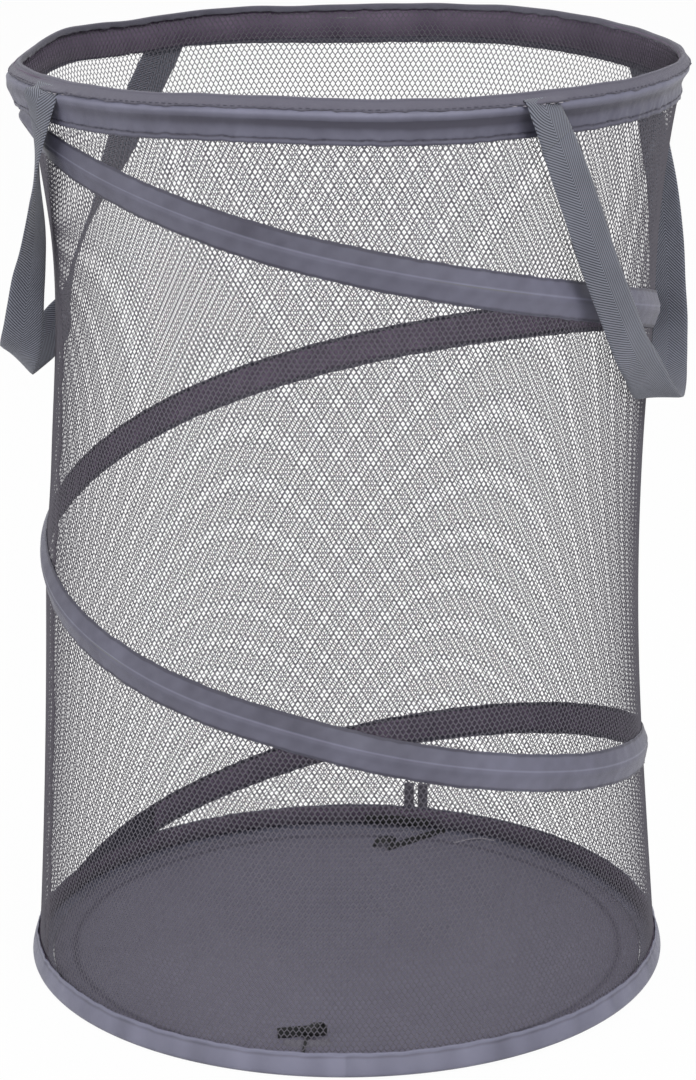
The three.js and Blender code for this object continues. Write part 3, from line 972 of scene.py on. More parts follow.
@dataclass
class NetWall:
    """The knitted net, in panels, with a hexagonal hole in each cell."""

    columns: int = 345
    row_height: float = 2.845 * MM
    stem_share: float = 0.15
    strand: float = 0.59 * MM
    relief: float = 0.32 * MM
    panels: int = 5
    bottom: float = 3 * MM
    seam_degrees: float = -75.0
    wander: float = 0.5 * MM
    wander_height: float = 60 * MM
    wander_foot: tuple[float, float] = (20 * MM, 60 * MM)
    wander_head: tuple[float, float] = (480 * MM, 540 * MM)
    wave_low: float = 500 * MM
    top_in: float = 1 * MM

    def cell(self) -> tuple[Array, Array, Array]:
        """Corners of one hexagonal cell and of its hole. The cell's upright sides stand half a
        pitch away, and its slanted sides run from their ends to the top and bottom points. Each
        side of the hole lies half a strand inside the cell's side.

        Returns:
            Places of the hole's corners across and up from the cell's middle, and the cell's
            two heights: of the upright side's end and of the point.
        """
        half = math.pi * DRUM.spiral_net_radius / self.columns
        low = self.stem_share * self.row_height
        high = self.row_height - low
        length = math.hypot(half, high - low)
        reach = half * high - self.strand / 2.0 * length
        side = half - self.strand / 2.0
        shoulder = (reach - (high - low) * side) / half
        across = np.array([0.0, side, side, 0.0, -side, -side])
        up = np.array([-reach / half, -shoulder, shoulder, reach / half, shoulder, -shoulder])
        return across / half, up, np.array([low, high])

    def panel(self, name: str, columns: Array, rows: Array, body: Body,
              lift: float = 0.0) -> bpy.types.Object:
        """Lays cells side by side, every second row half a pitch along. Cells share corners,
        which stand proud of the holes' edges, so that strands are ridged like yarn.

        Args:
            name: the piece's name.
            columns: which columns it has.
            rows: which rows it has, counted from the bottom.
            body: what it rides on.
            lift: how far the whole panel stands off the net's own radius.

        Returns:
            The dressed panel.
        """
        across, up, (low, high) = self.cell()
        row, column = np.meshgrid(rows, columns, indexing="ij")
        row, column = row.ravel()[:, None], column.ravel()[:, None]
        middle = 2 * column + row % 2
        corner_x = middle + np.array([0, 1, 1, 0, -1, -1])
        corner_y = 2 * row + np.array([0, 1, 2, 3, 2, 1])
        span = 4 * self.columns
        keys, place = np.unique(corner_y * span + corner_x + 1, return_inverse=True)
        level, at_x = keys // span, keys % span - 1
        # Two levels lie between neighbouring rows: the lower row's shoulder and the upper's.
        corner_z = (level // 2 - 1) * self.row_height + np.where(level % 2, high, low)
        hole_x = (middle + across).ravel()
        hole_z = (row * self.row_height + up).ravel()
        edge = np.concatenate([np.full(len(keys), self.relief), np.zeros(len(hole_x))])
        bearing = self.seam_degrees + np.concatenate([at_x, hole_x]) * 180.0 / self.columns
        height = self.bottom + np.concatenate([corner_z, hole_z])
        wander = self.wander * sine(bearing * 7.0) * np.sin(height / self.wander_height)
        free = ramp(height, *self.wander_foot) * (1.0 - ramp(height, *self.wander_head))
        height = height + wander * free
        radius = DRUM.net_radius(bearing, height) + edge + lift
        height = height + DRUM.wave(bearing) * ramp(height, self.wave_low, DRUM.rim_low)
        outer = place.reshape(-1, 6)
        inner = len(keys) + np.arange(len(hole_x)).reshape(-1, 6)
        quads = np.stack(
            [outer, np.roll(outer, -1, 1), np.roll(inner, -1, 1), inner], -1
        ).reshape(-1, 4)
        piece = mesh_object(name, DRUM.at(radius, bearing, height), [quads])
        dress(piece, NET, "net", body, "net_wall")
        return piece

    def build(self) -> None:
        """Builds the wall's panels and the net inside the rim."""
        count = int((FOLD.net_top - self.bottom) / self.row_height)
        per_panel = self.columns // self.panels
        for number in range(self.panels):
            columns = np.arange(number * per_panel, (number + 1) * per_panel)
            piece = self.panel(f"net_panel_{number + 1}", columns, np.arange(count), Body.BASE)
            FOLD.squash(piece)
        top = int((DRUM.height - self.top_in - self.bottom) / self.row_height)
        self.panel("net_in_rim", np.arange(self.columns), np.arange(count, top), Body.RIM)


Offset = Callable[[Array], tuple[Array, Array]]


def ring_sheet(profile: tuple[Array, Array], steps: int, offset: Offset,
               shade: Array) -> Sheet:
    """Turns a closed section about the axis.

    Args:
        profile: radii and heights of the section's corners.
        steps: how many columns of points there are round the drum.
        offset: gives a shift in radius and height for each bearing and corner.
        shade: darkening of each corner.

    Returns:
        The closed ring, as a sheet.
    """
    radius, height = profile
    bearing = all_round(steps)
    out, up = offset(bearing)
    points = DRUM.at(radius + out, bearing, height + up)
    along = np.linspace(0.0, 2.0 * math.pi * DRUM.ring_radius, steps + 1)
    walked = np.hypot(np.diff(radius, append=radius[0]), np.diff(height, append=height[0]))
    across = np.concatenate([[0.0], np.cumsum(walked)])
    return Sheet(points, along, across, np.broadcast_to(shade, points.shape[:2]),
                 loop_rows=True)


@dataclass(frozen=True)
class LiningBand:
    """A sleeve's uncoated side behind the net: a plain band between net and wire."""

    name: str
    body: Body
    low: float
    high: float
    seed: int
    shade: float
    rests_on: str
    length: float = 1247 * MM
    off: float = 0.5 * MM
    cloth: float = 0.25 * MM
    pitch: tuple[float, float] = (12 * MM, 90 * MM)
    steps: int = 360

    def build(self, offset: Offset) -> None:
        """Builds the band, shifted as the sleeve is.

        Args:
            offset: gives a shift in radius and height, as for ring_sheet.
        """
        front = self.off + self.cloth
        radius = DRUM.band_radius + np.array([front, front, self.off, self.off])
        height = np.array([self.high, self.low, self.low, self.high])
        # Painted light and shade of soft folds; the band itself stays flat.
        painted_folds = Ripple(self.seed, *self.pitch)
        shade = self.shade + 0.12 * painted_folds(DRUM.walked(all_round(self.steps)), height)
        piece = ring_sheet((radius, height), self.steps, offset, shade).build(self.name)
        dress(piece, LINING, "nylon", self.body)
        self.high - self.low


@dataclass
class Stitches:
    """A run of short rounded stitches laid on a line."""

    length: float = 3.2 * MM
    gap: float = 1.0 * MM
    radius: float = 0.3 * MM
    sides: int = 5

    def count(self, line_length: float) -> int:
        """How many stitches fit on a line."""
        return max(int(line_length / (self.length + self.gap)), 1)

    def bearings(self, radius: float) -> Array:
        """Bearings of the stitches that fit round a ring."""
        count = self.count(2.0 * math.pi * radius)
        return np.arange(count) * 360.0 / count

    def build(self, name: str, centre: Array, along: Array, out: Array) -> bpy.types.Object:
        """Each stitch is a spindle: rings of points round its length, whose radius follows a
        half ellipse, sunk at both ends.

        Args:
            name: the piece's name.
            centre: (n, 3) middles of the stitches.
            along: (n, 3) directions of the stitches.
            out: (n, 3) directions away from the cloth.

        Returns:
            One object that holds all the stitches.
        """
        ends = np.array([-1.0, -0.75, 0.0, 0.75, 1.0])
        girth = np.sqrt(1.0 - (0.98 * ends) ** 2) * self.radius
        turn = np.arange(self.sides) * 2.0 * math.pi / self.sides
        side = np.cross(along, out)
        ring = (
            side[:, None, None, :] * np.cos(turn)[None, None, :, None]
            + out[:, None, None, :] * np.sin(turn)[None, None, :, None]
        ) * girth[None, :, None, None]
        spine = (
            centre[:, None, None, :]
            + along[:, None, None, :] * (ends * self.length / 2.0)[None, :, None, None]
            - out[:, None, None, :] * (ends**2 * self.radius * 0.8)[None, :, None, None]
        )
        points = spine + ring
        one = Sheet(points[0], ends, turn, capped=True)
        quads, _, _ = one.faces()
        size = len(ends) * self.sides
        shift = (np.arange(len(centre)) * size)[:, None, None]
        cap = np.arange(self.sides)
        caps = np.stack([cap, size - self.sides + cap[::-1]])
        return mesh_object(
            name,
            points.reshape(-1, 3),
            [(quads[None] + shift).reshape(-1, 4), (caps[None] + shift).reshape(-1, self.sides)],
        )


RIM_STITCHES = Stitches(length=2.7 * MM, gap=1.5 * MM)
CASING_STITCHES = Stitches(length=2.6 * MM, gap=1.6 * MM, radius=0.24 * MM)
FOOT_STITCHES = Stitches(length=2.6 * MM, gap=1.4 * MM, radius=0.22 * MM)
TACK_STITCHES = Stitches(length=3.4 * MM, gap=1.2 * MM, radius=0.36 * MM)


def ring_wire(name: str, node: str, body: Body, height: float, finish: Metal,
              span_degrees: float, radius: float, waved: float = 0.0) -> None:
    """A tube round the drum, open at the back, or a short one over its joint there.

    Args:
        name: the piece's name.
        node: the CAD node that it stands for.
        body: what it rides on.
        height: of its centre line.
        finish: its look.
        span_degrees: how far it reaches to each side of the bearing that it is centred on.
        radius: of the tube.
        waved: share of the rim's wave that it follows.
    """
    middle = 0.0 if span_degrees > 90.0 else 180.0
    bearing = np.linspace(middle - span_degrees, middle + span_degrees,
                          max(int(span_degrees * 2), 8))
    turn = np.linspace(0.0, 360.0, 8, endpoint=False)
    rise = waved * DRUM.wave(bearing[:, None]) + radius * sine(turn)
    points = DRUM.at(DRUM.ring_radius + radius * cosine(turn), bearing[:, None], height + rise)
    along = np.radians(np.append(bearing, bearing[-1])) * DRUM.ring_radius
    sheet = Sheet(points, along, np.arange(9) * radius, capped=True)
    dress(sheet.build(name), finish, "steel", body, node)


@dataclass
class Rim:
    """Top ring: wire, sleeve with its lining, and the binding that closes its edge."""

    steps: int = 900
    cloth: float = 0.6 * MM
    binding: float = 6.8 * MM
    binding_cloth: float = 0.9 * MM
    tape_off: float = 0.12 * MM
    tape_in: float = 0.2 * MM
    tape_reach: float = 3.5 * MM
    tape_flare: float = 0.45 * MM
    tape_pucker: float = 0.3 * MM
    tape_hump: float = 0.3 * MM
    wire_height: float = 567.8 * MM
    wire_radius: float = 1.2 * MM
    ferrule_radius: float = 1.8 * MM
    ridge_radius: float = 204.4 * MM
    crest_radius: float = 198.2 * MM
    hem_radius: float = 199.5 * MM
    hollow: float = 5.0 * MM
    hem: float = 2.9 * MM
    inner_leg: float = 4.4 * MM
    short_hem: float = 3.2 * MM
    lean: float = 0.3
    swell: float = 2.6 * MM
    swell_drop: float = 6 * MM
    flat: float = 1.8 * MM
    shift_half: float = 5 * MM
    top_in: float = 1.6 * MM
    crest_in: float = 2 * MM
    face_rows: int = 34
    cut: tuple[float, float] = (30 * MM, 1275 * MM)
    tape_cut: tuple[float, float] = (15 * MM, 1262 * MM)
    seam_half: float = 0.6 * MM
    seam_depth: float = 0.3 * MM
    pucker: float = 0.45 * MM
    pucker_reach: float = 5 * MM
    sweep: float = 0.3 * MM
    ragged: float = 0.35 * MM
    short_degrees: float = -135.0
    short_half_degrees: float = 26.0
    lining_top: float = 2.5 * MM
    lining_foot: float = 4 * MM
    ridge_rise: float = 1.5 * MM
    ridge_half: float = 2.2 * MM
    hollow_drop: float = 5 * MM
    hollow_half: float = 3 * MM
    lower_drop: float = 3 * MM
    stitch_up: float = 1 * MM
    stitch_off: float = 1.75 * MM
    hem_stitch_off: float = 0.25 * MM
    strap: float = 2.0 * MM
    strap_half_degrees: float = 3.9
    straps: tuple[float, ...] = ()

    @property
    def top(self) -> float:
        """Top edge of the sleeve, inside the binding."""
        return DRUM.height - self.top_in

    def face(self, height: Array) -> Array:
        """Radius of the sleeve's outside: a straight slope from the top edge to the ridge over
        the wire, then a fall that flattens towards the hem.

        Args:
            height: heights.

        Returns:
            Radius at each.
        """
        over = np.clip((height - self.wire_height) / (self.top - self.wire_height), 0.0, 1.0)
        under = np.maximum(self.wire_height - height, 0.0)
        rounded = (np.hypot(over, 0.2) - 0.2) / (math.hypot(1.0, 0.2) - 0.2)
        upper = self.ridge_radius - (self.ridge_radius - self.crest_radius) * rounded
        fallen = np.exp(-((under / self.hollow) ** 1.5))
        lower = self.hem_radius + (self.ridge_radius - self.hem_radius) * fallen
        return np.where(height > self.wire_height, upper, lower)

    def shift(self, bearing: Array, height: Array) -> Array:
        """How far out the rim stands from its even section: it leans in at the left and out at
        the right above the wire, bulges under the wire at the left, and follows the pinch.

        Args:
            bearing, height: places, in shapes that broadcast.

        Returns:
            Shift out at each.
        """
        above = np.maximum(height - self.wire_height, 0.0)
        over = bell(height, self.wire_height, self.shift_half)
        under = bell(height, self.wire_height - self.swell_drop, self.shift_half)
        swollen = (self.swell * under - self.flat * over) * DRUM.near_pinch(bearing)
        return self.lean * sine(bearing) * above + swollen - DRUM.pinch(bearing, height)

    def sleeve(self) -> None:
        """Section from the top edge over the wire's ridge and down to the hem, and back up on
        the inside. Slanted puckers grow towards the hem's seam, and only outwards."""
        low = DRUM.rim_low
        outer_z = np.linspace(self.top, low, self.face_rows)
        seam = bell(outer_z, low + self.hem, self.seam_half)
        outer_r = self.face(outer_z) - self.seam_depth * seam
        radius = np.concatenate([outer_r, outer_r[::-1] - self.cloth])
        height = np.concatenate([outer_z, outer_z[::-1]])
        near = np.exp(-np.abs(height - low - self.hem) / self.pucker_reach)

        def offset(bearing: Array) -> tuple[Array, Array]:
            """Shift out and up, for each bearing and corner of the section.

            Args:
                bearing: bearings, as a column.

            Returns:
                Shifts out and up.
            """
            along = DRUM.walked(bearing)
            fold = np.maximum(RIM_FOLDS(along, 2.0 * (height - low)) + 0.6, -0.1)
            out = self.pucker * near * fold + self.sweep * RIM_SWEEP(along) * (1 - near)
            out = out + self.shift(bearing, height)
            away = DRUM.turned(bearing, self.short_degrees)
            short = self.short_hem * bell(away, 0.0, self.short_half_degrees)
            short = short * ramp(-height, -self.wire_height, -low)
            return out, short + DRUM.wave(bearing) + self.ragged * near * RIM_RAGGED(along)

        bearing = all_round(self.steps)
        face = self.face_shade(bearing, outer_z) + 0.5 * seam
        shade = np.concatenate([face, np.full_like(face, 0.6)], axis=1)
        piece = ring_sheet((radius, height), self.steps, offset, shade)
        piece = piece.build("rim_sleeve_cloth")
        dress(piece, NYLON, "nylon", Body.RIM, "rim_sleeve")

    def face_shade(self, bearing: Array, height: Array) -> Array:
        """Darkening of the sleeve's face: a painted highlight on the ridge over the wire, painted
        shade in the hollow under it and over the rest below the wire, strongest at the front, and a
        darker hem edge.

        Args:
            bearing: bearings, as a column.
            height: heights of the section's corners.

        Returns:
            Darkening, for each bearing and corner.
        """
        ridge, hollow = self.wire_height + self.ridge_rise, self.wire_height - self.hollow_drop
        # Painted highlight on the ridge, and painted shade under it, deepest at the front; the hem
        # edge is a real darker hem, the patches random tone.
        ridge_painted_highlight = -0.3 * bell(height, ridge, self.ridge_half)
        under = 0.35 * bell(height, hollow, self.hollow_half)
        under = under + 0.13 * (height < self.wire_height - self.lower_drop)
        front_painted_shade_gain = 0.55 + 1.1 * bell(DRUM.turned(bearing, 15.0), 0.0, 45.0)
        edge = 0.25 * (height < DRUM.rim_low + self.hem * 0.5)
        patchy = 0.05 * RIM_PATCHES(DRUM.walked(bearing))
        return ridge_painted_highlight + edge + under * front_painted_shade_gain + patchy

    def lining(self) -> None:
        """The sleeve's own cloth behind the net, which follows the rim's wave and the pinch."""
        high, low = DRUM.height - self.lining_top, DRUM.rim_low + self.lining_foot
        height = np.array([high, low, low, high])
        band = LiningBand("rim_lining_cloth", Body.RIM, low, high, seed=15, shade=0.3,
                          rests_on="net_in_rim")
        band.build(lambda bearing: (-DRUM.pinch(bearing, height), DRUM.wave(bearing)))

    def tape(self) -> None:
        """Section of a tape folded over the edge: down the sleeve's slope on the outside, round
        the top in a half circle and down the inside. It bulges over each strap of webbing."""
        wall = self.binding_cloth
        foot, crest = DRUM.height - self.binding, DRUM.height - self.crest_in
        inner_foot = DRUM.height - self.inner_leg
        outer_z = np.linspace(foot, crest, 9)
        outer_r = self.face(outer_z) + wall / 2.0 + self.tape_off
        inner = DRUM.band_radius - self.tape_in - wall / 2.0
        half = (outer_r[-1] - inner) / 2.0
        turn = np.linspace(0.0, 180.0, 11)[1:-1]
        arc_r, arc_z = inner + half + half * cosine(turn), crest + half * 0.9 * sine(turn)
        middle_r = np.concatenate([outer_r, arc_r, np.full(6, inner)])
        middle_z = np.concatenate([outer_z, arc_z, np.linspace(crest, inner_foot, 6)])
        across = unit(np.stack([np.gradient(middle_z), -np.gradient(middle_r)], -1)) * wall / 2.0
        radius = np.concatenate([middle_r + across[:, 0], (middle_r - across[:, 0])[::-1]])
        height = np.concatenate([middle_z + across[:, 1], (middle_z - across[:, 1])[::-1]])
        outward = np.where(radius > inner + half, 1.0, -1.0)
        low = 1.0 - ramp(height, foot, foot + self.tape_reach)
        low = np.where(radius > inner + half, low, 1.0 - ramp(height, inner_foot, crest))

        def offset(bearing: Array) -> tuple[Array, Array]:
            """Shift out and up, for each bearing and corner of the section.

            Args:
                bearing: bearings, as a column.

            Returns:
                Shifts out and up.
            """
            along = DRUM.walked(bearing)
            away = DRUM.turned(bearing[..., None], np.array(self.straps))
            over = np.exp(-((away / self.strap_half_degrees) ** 4)).sum(axis=-1)
            pucker = self.tape_pucker * TAPE_PUCKERS(along, height)
            out = outward * low * (self.tape_flare + pucker)
            out = out + (outward > 0) * low * over * self.strap
            out = out + self.shift(bearing, height)
            lift = self.tape_hump * TAPE_HUMPS(along)
            lift = lift + self.tape_pucker * low * TAPE_PUCKERS(along + 0.3)
            return out, DRUM.wave(bearing) + lift

        shade = 0.35 * low - 0.15 + 0.5 * (outward < 0)
        piece = ring_sheet((radius, height), self.steps, offset, shade).build("rim_binding_tape")
        dress(piece, BINDING, "binding", Body.RIM, "rim_binding")

    def seams(self) -> None:
        """Stitches along the binding's lower edge and along the sleeve's hem."""
        binding_low = DRUM.height - self.binding + self.stitch_up
        out = self.face(np.array(binding_low)) + self.stitch_off
        rows = {
            "rim_binding_stitches": (out, binding_low),
            "rim_hem_stitches": (self.hem_radius + self.hem_stitch_off, DRUM.rim_low + self.hem),
        }
        for name, (radius, height) in rows.items():
            bearing = RIM_STITCHES.bearings(radius)
            radius = radius + self.shift(bearing, np.array(height))
            centre = DRUM.at(radius, bearing, height + DRUM.wave(bearing))
            piece = RIM_STITCHES.build(name, centre, DRUM.round(bearing), DRUM.out(bearing))
            dress(piece, STITCH, "binding", Body.RIM)

    def build(self) -> None:
        """Builds the wire with its ferrule, the sleeve, the lining, the binding and stitches."""
        ring_wire("rim_ring_wire", "rim_wire", Body.RIM, self.wire_height, STEEL, 178.5,
                  self.wire_radius, waved=1.0)
        ring_wire("rim_ring_ferrule", "rim_ferrule", Body.RIM, self.wire_height, STEEL, 2.0,
                  self.ferrule_radius, waved=1.0)
        self.sleeve()
        self.lining()
        self.tape()
        self.seams()


@dataclass
class Spiral:
    """The spring wire, its caps and the casing that carries it round the net."""

    rise: float = 10.6 * MM
    fall: float = 12.6 * MM
    ridge: float = 3.2 * MM
    edge: float = 0.75 * MM
    cloth: float = 0.6 * MM
    wire_radius: float = 1.2 * MM
    wire_off: float = 2.1 * MM
    step: float = 2.4 * MM
    start_degrees: float = -76.0
    taper_height: float = 11 * MM
    pucker: float = 0.35 * MM
    ragged: float = 0.22 * MM
    sway: float = 0.25 * MM
    tuck: float = 2.5 * MM
    slip: float = 1 * MM
    foot_ramp: float = 4 * MM
    rim_ramp: tuple[float, float] = (-0.5 * MM, 5 * MM)
    fan: float = 0.02 * MM
    least_outer: float = 0.6 * MM
    least_inner: float = 0.5 * MM
    cut_width: float = 25 * MM
    lining_faces: tuple[float, float] = (0.7 * MM, 0.48 * MM)
    cap_wall: float = 0.35 * MM
    stitch_in: float = 1.2 * MM
    stitch_off: float = 1.2 * MM
    stitch_foot: float = 1.5 * MM
    stitch_rim: float = 1 * MM
    lining_share: float = 0.75

    def bearings(self) -> Array:
        """Bearings from the rim to where the casing's top edge slips under the foot's sleeve.

        Returns:
            Bearings, a step apart.
        """
        last = DRUM.start_degrees + 360.0 * (
            DRUM.height - DRUM.top_drop - (DRUM.foot_band - self.rise + self.slip)
        ) / DRUM.pitch
        per_step = math.degrees(self.step / DRUM.spiral_net_radius)
        return np.arange(self.start_degrees, last, per_step)

    def raised(self, height: Array, centre: Array) -> Array:
        """Share of its own relief that the casing keeps: none where it lies under the rim's
        sleeve or slips under the foot's."""
        low, high = DRUM.foot_band - self.foot_ramp, DRUM.foot_band + self.taper_height
        return ramp(centre, low, high) * ramp(DRUM.rim_low - height, *self.rim_ramp)

    def casing(self) -> None:
        """Across the strip the cloth is a tent over the wire, rounded at its ridge, and its edges
        lie on the net. Puckers grow towards both stitched edges."""
        bearing = self.bearings()[:, None]
        centre = DRUM.spiral_height(bearing)
        share = np.linspace(-1.0, 1.0, 45)
        along = np.radians(bearing) * DRUM.spiral_net_radius
        side = np.where(share < 0, self.fall, self.rise)
        side = side + self.ragged * CASING_RAGGED(along, share * 0.03)
        height = centre + share * side
        floor = DRUM.foot_band - self.tuck
        height = np.maximum(height, floor + self.fan * (share + 1.0))
        away = 1.0 - np.abs(share)
        tent = self.ridge * (1.12 * away**0.9 - 0.25 * bell(share, 0.0, 0.1))
        near = np.exp(-away / 0.28)
        rough = self.pucker * near * np.maximum(CASING_FOLDS(along, share * 0.03) + 0.4, -0.2)
        wide = CASING_SWAY(along) * self.sway * (1 - near)
        lift = self.edge + (tent + rough + wide) * self.raised(height, centre)
        net = DRUM.net_radius(bearing, height)
        outer = net + np.maximum(lift, self.least_outer)
        inner = net + np.maximum(lift - self.cloth, self.least_inner)
        outer, inner = (DRUM.at(radius, bearing, height) for radius in (outer, inner))
        points = np.concatenate([outer, inner[:, ::-1]], axis=1)
        patchy = 0.07 * CASING_PATCHES(along, share * 0.02)
        face = self.face_shade(bearing, share) + patchy
        shade = np.concatenate([face, np.full_like(face, 0.6)], axis=1)
        width = share * (self.rise + self.fall) / 2.0
        across = np.concatenate([width, width[::-1], width[:1]])
        sheet = Sheet(points, np.append(along[:, 0], along[-1, 0]), across, shade, capped=True)
        piece = dress(sheet.build("spiral_casing_cloth"), NYLON, "nylon", Body.BASE,
                      "spiral_casing")
        FOLD.squash(piece)

    def face_shade(self, bearing: Array, share: Array) -> Array:
        """Darkening of the strip's face: dark at both hems, with a painted highlight along the ridge
        on a face darker overall, and painted shade just below the ridge. In front, painted shade
        left of the middle and painted light right of it.

        Args:
            bearing: bearings, as a column.
            share: places across the strip, from -1 to 1.

        Returns:
            Darkening, for each bearing and place.
        """
        away = 1.0 - np.abs(share)
        hem = 0.45 * bell(away, 0.1, 0.05) + 0.2 * (away < 0.06)
        # Painted highlight along the ridge, and painted shade below it.
        line = 0.17 - 0.5 * bell(share, 0.07, 0.055)
        under = 0.06 * bell(share, -0.3, 0.16)
        turned = DRUM.turned(bearing, 0.0)
        # Painted shade left of the front's middle and painted light right of it, as the key lamp
        # falls.
        left_front_painted_shade = 0.24 * bell(turned, -12.0, 22.0) * ramp(share, 0.0, 0.2)
        right_front_painted_light = 0.2 * bell(turned, 38.0, 22.0)
        return hem + line + under + left_front_painted_shade - right_front_painted_light

    def lining(self) -> None:
        """The strip's back, between net and wire, which shows through the net from inside."""
        bearing = self.bearings()[:, None]
        centre = DRUM.spiral_height(bearing)
        low = DRUM.foot_band + self.fall
        bearing, centre = bearing[centre[:, 0] > low], centre[centre[:, 0] > low]
        share = np.linspace(-self.lining_share, self.lining_share, 9)
        height = centre + share * np.where(share < 0, self.fall, self.rise)
        net = DRUM.net_radius(bearing, height)
        faces = [DRUM.at(net + off, bearing, height) for off in self.lining_faces]
        points = np.concatenate([faces[0], faces[1][:, ::-1]], axis=1)
        along = np.radians(bearing) * DRUM.spiral_net_radius
        width = share * (self.rise + self.fall) / 2.0
        across = np.concatenate([width, width[::-1], width[:1]])
        # Painted light and shade of soft folds; the strip itself stays flat.
        shade = 0.12 * LINING_PAINTED_FOLDS(along, across[:-1])
        sheet = Sheet(points, np.append(along[:, 0], along[-1, 0]), across, shade, capped=True)
        piece = dress(sheet.build("spiral_lining_cloth"), LINING, "nylon", Body.BASE)
        FOLD.squash(piece)

    def line(self, bearing: Array, off: float) -> Array:
        """Places on the spiral, a distance out from the net."""
        height = DRUM.spiral_height(bearing)
        return DRUM.at(DRUM.net_radius(bearing, height) + off, bearing, height)

    def wire(self) -> None:
        """A tube along the spiral, with a round cap on each end."""
        bearing = self.bearings()
        height = DRUM.spiral_height(bearing)
        low = DRUM.foot_band + self.taper_height
        bearing = bearing[height > low][4:]
        turn = np.linspace(0.0, 360.0, 8, endpoint=False)
        parts = {"spiral_spring": (bearing, self.wire_radius, STEEL, "steel", "spiral_wire")}
        for name, ends, node in (("spiral_cap_top", bearing[:4], "spiral_top_cap"),
                                 ("spiral_cap_bottom", bearing[-4:], "spiral_bottom_cap")):
            parts[name] = (ends, self.wire_radius + self.cap_wall, CAP, "plastic", node)
        for name, (run, radius, finish, slot, node) in parts.items():
            centre = self.line(run, self.wire_off)
            forward = unit(np.gradient(centre, axis=0))
            out = DRUM.out(run)
            side = unit(np.cross(forward, out))
            across = np.broadcast_to(cosine(turn) * radius, (len(run), 8))
            through = np.broadcast_to(sine(turn) * radius, (len(run), 8))
            points = swept(centre, out, side, across, through)
            along = np.arange(len(run) + 1) * self.step
            sheet = Sheet(points, along, np.arange(9) * radius, capped=True)
            piece = dress(sheet.build(name), finish, slot, Body.BASE, node)
            FOLD.squash(piece)

    def seams(self) -> None:
        """Stitches along both edges of the casing."""
        for name, reach in (("casing_top_stitches", self.rise - self.stitch_in),
                            ("casing_low_stitches", -self.fall + self.stitch_in)):
            run = self.bearings()
            height = DRUM.spiral_height(run) + reach
            above_foot = height > DRUM.foot_band + self.stitch_foot
            run = run[above_foot & (height < DRUM.rim_low - self.stitch_rim)]
            length = math.radians(run[-1] - run[0]) * DRUM.spiral_net_radius
            bearing = np.linspace(run[0], run[-1], CASING_STITCHES.count(length))
            height = DRUM.spiral_height(bearing) + reach
            radius = DRUM.net_radius(bearing, height) + self.stitch_off
            centre = DRUM.at(radius, bearing, height)
            along = unit(np.gradient(centre, axis=0))
            piece = CASING_STITCHES.build(name, centre, along, DRUM.out(bearing))
            dress(piece, STITCH, "nylon", Body.BASE)
            FOLD.squash(piece)

    def build(self) -> None:
        """Builds the casing, its lining, the wire with its caps and the stitches."""
        self.casing()
        self.lining()
        self.wire()
        self.seams()


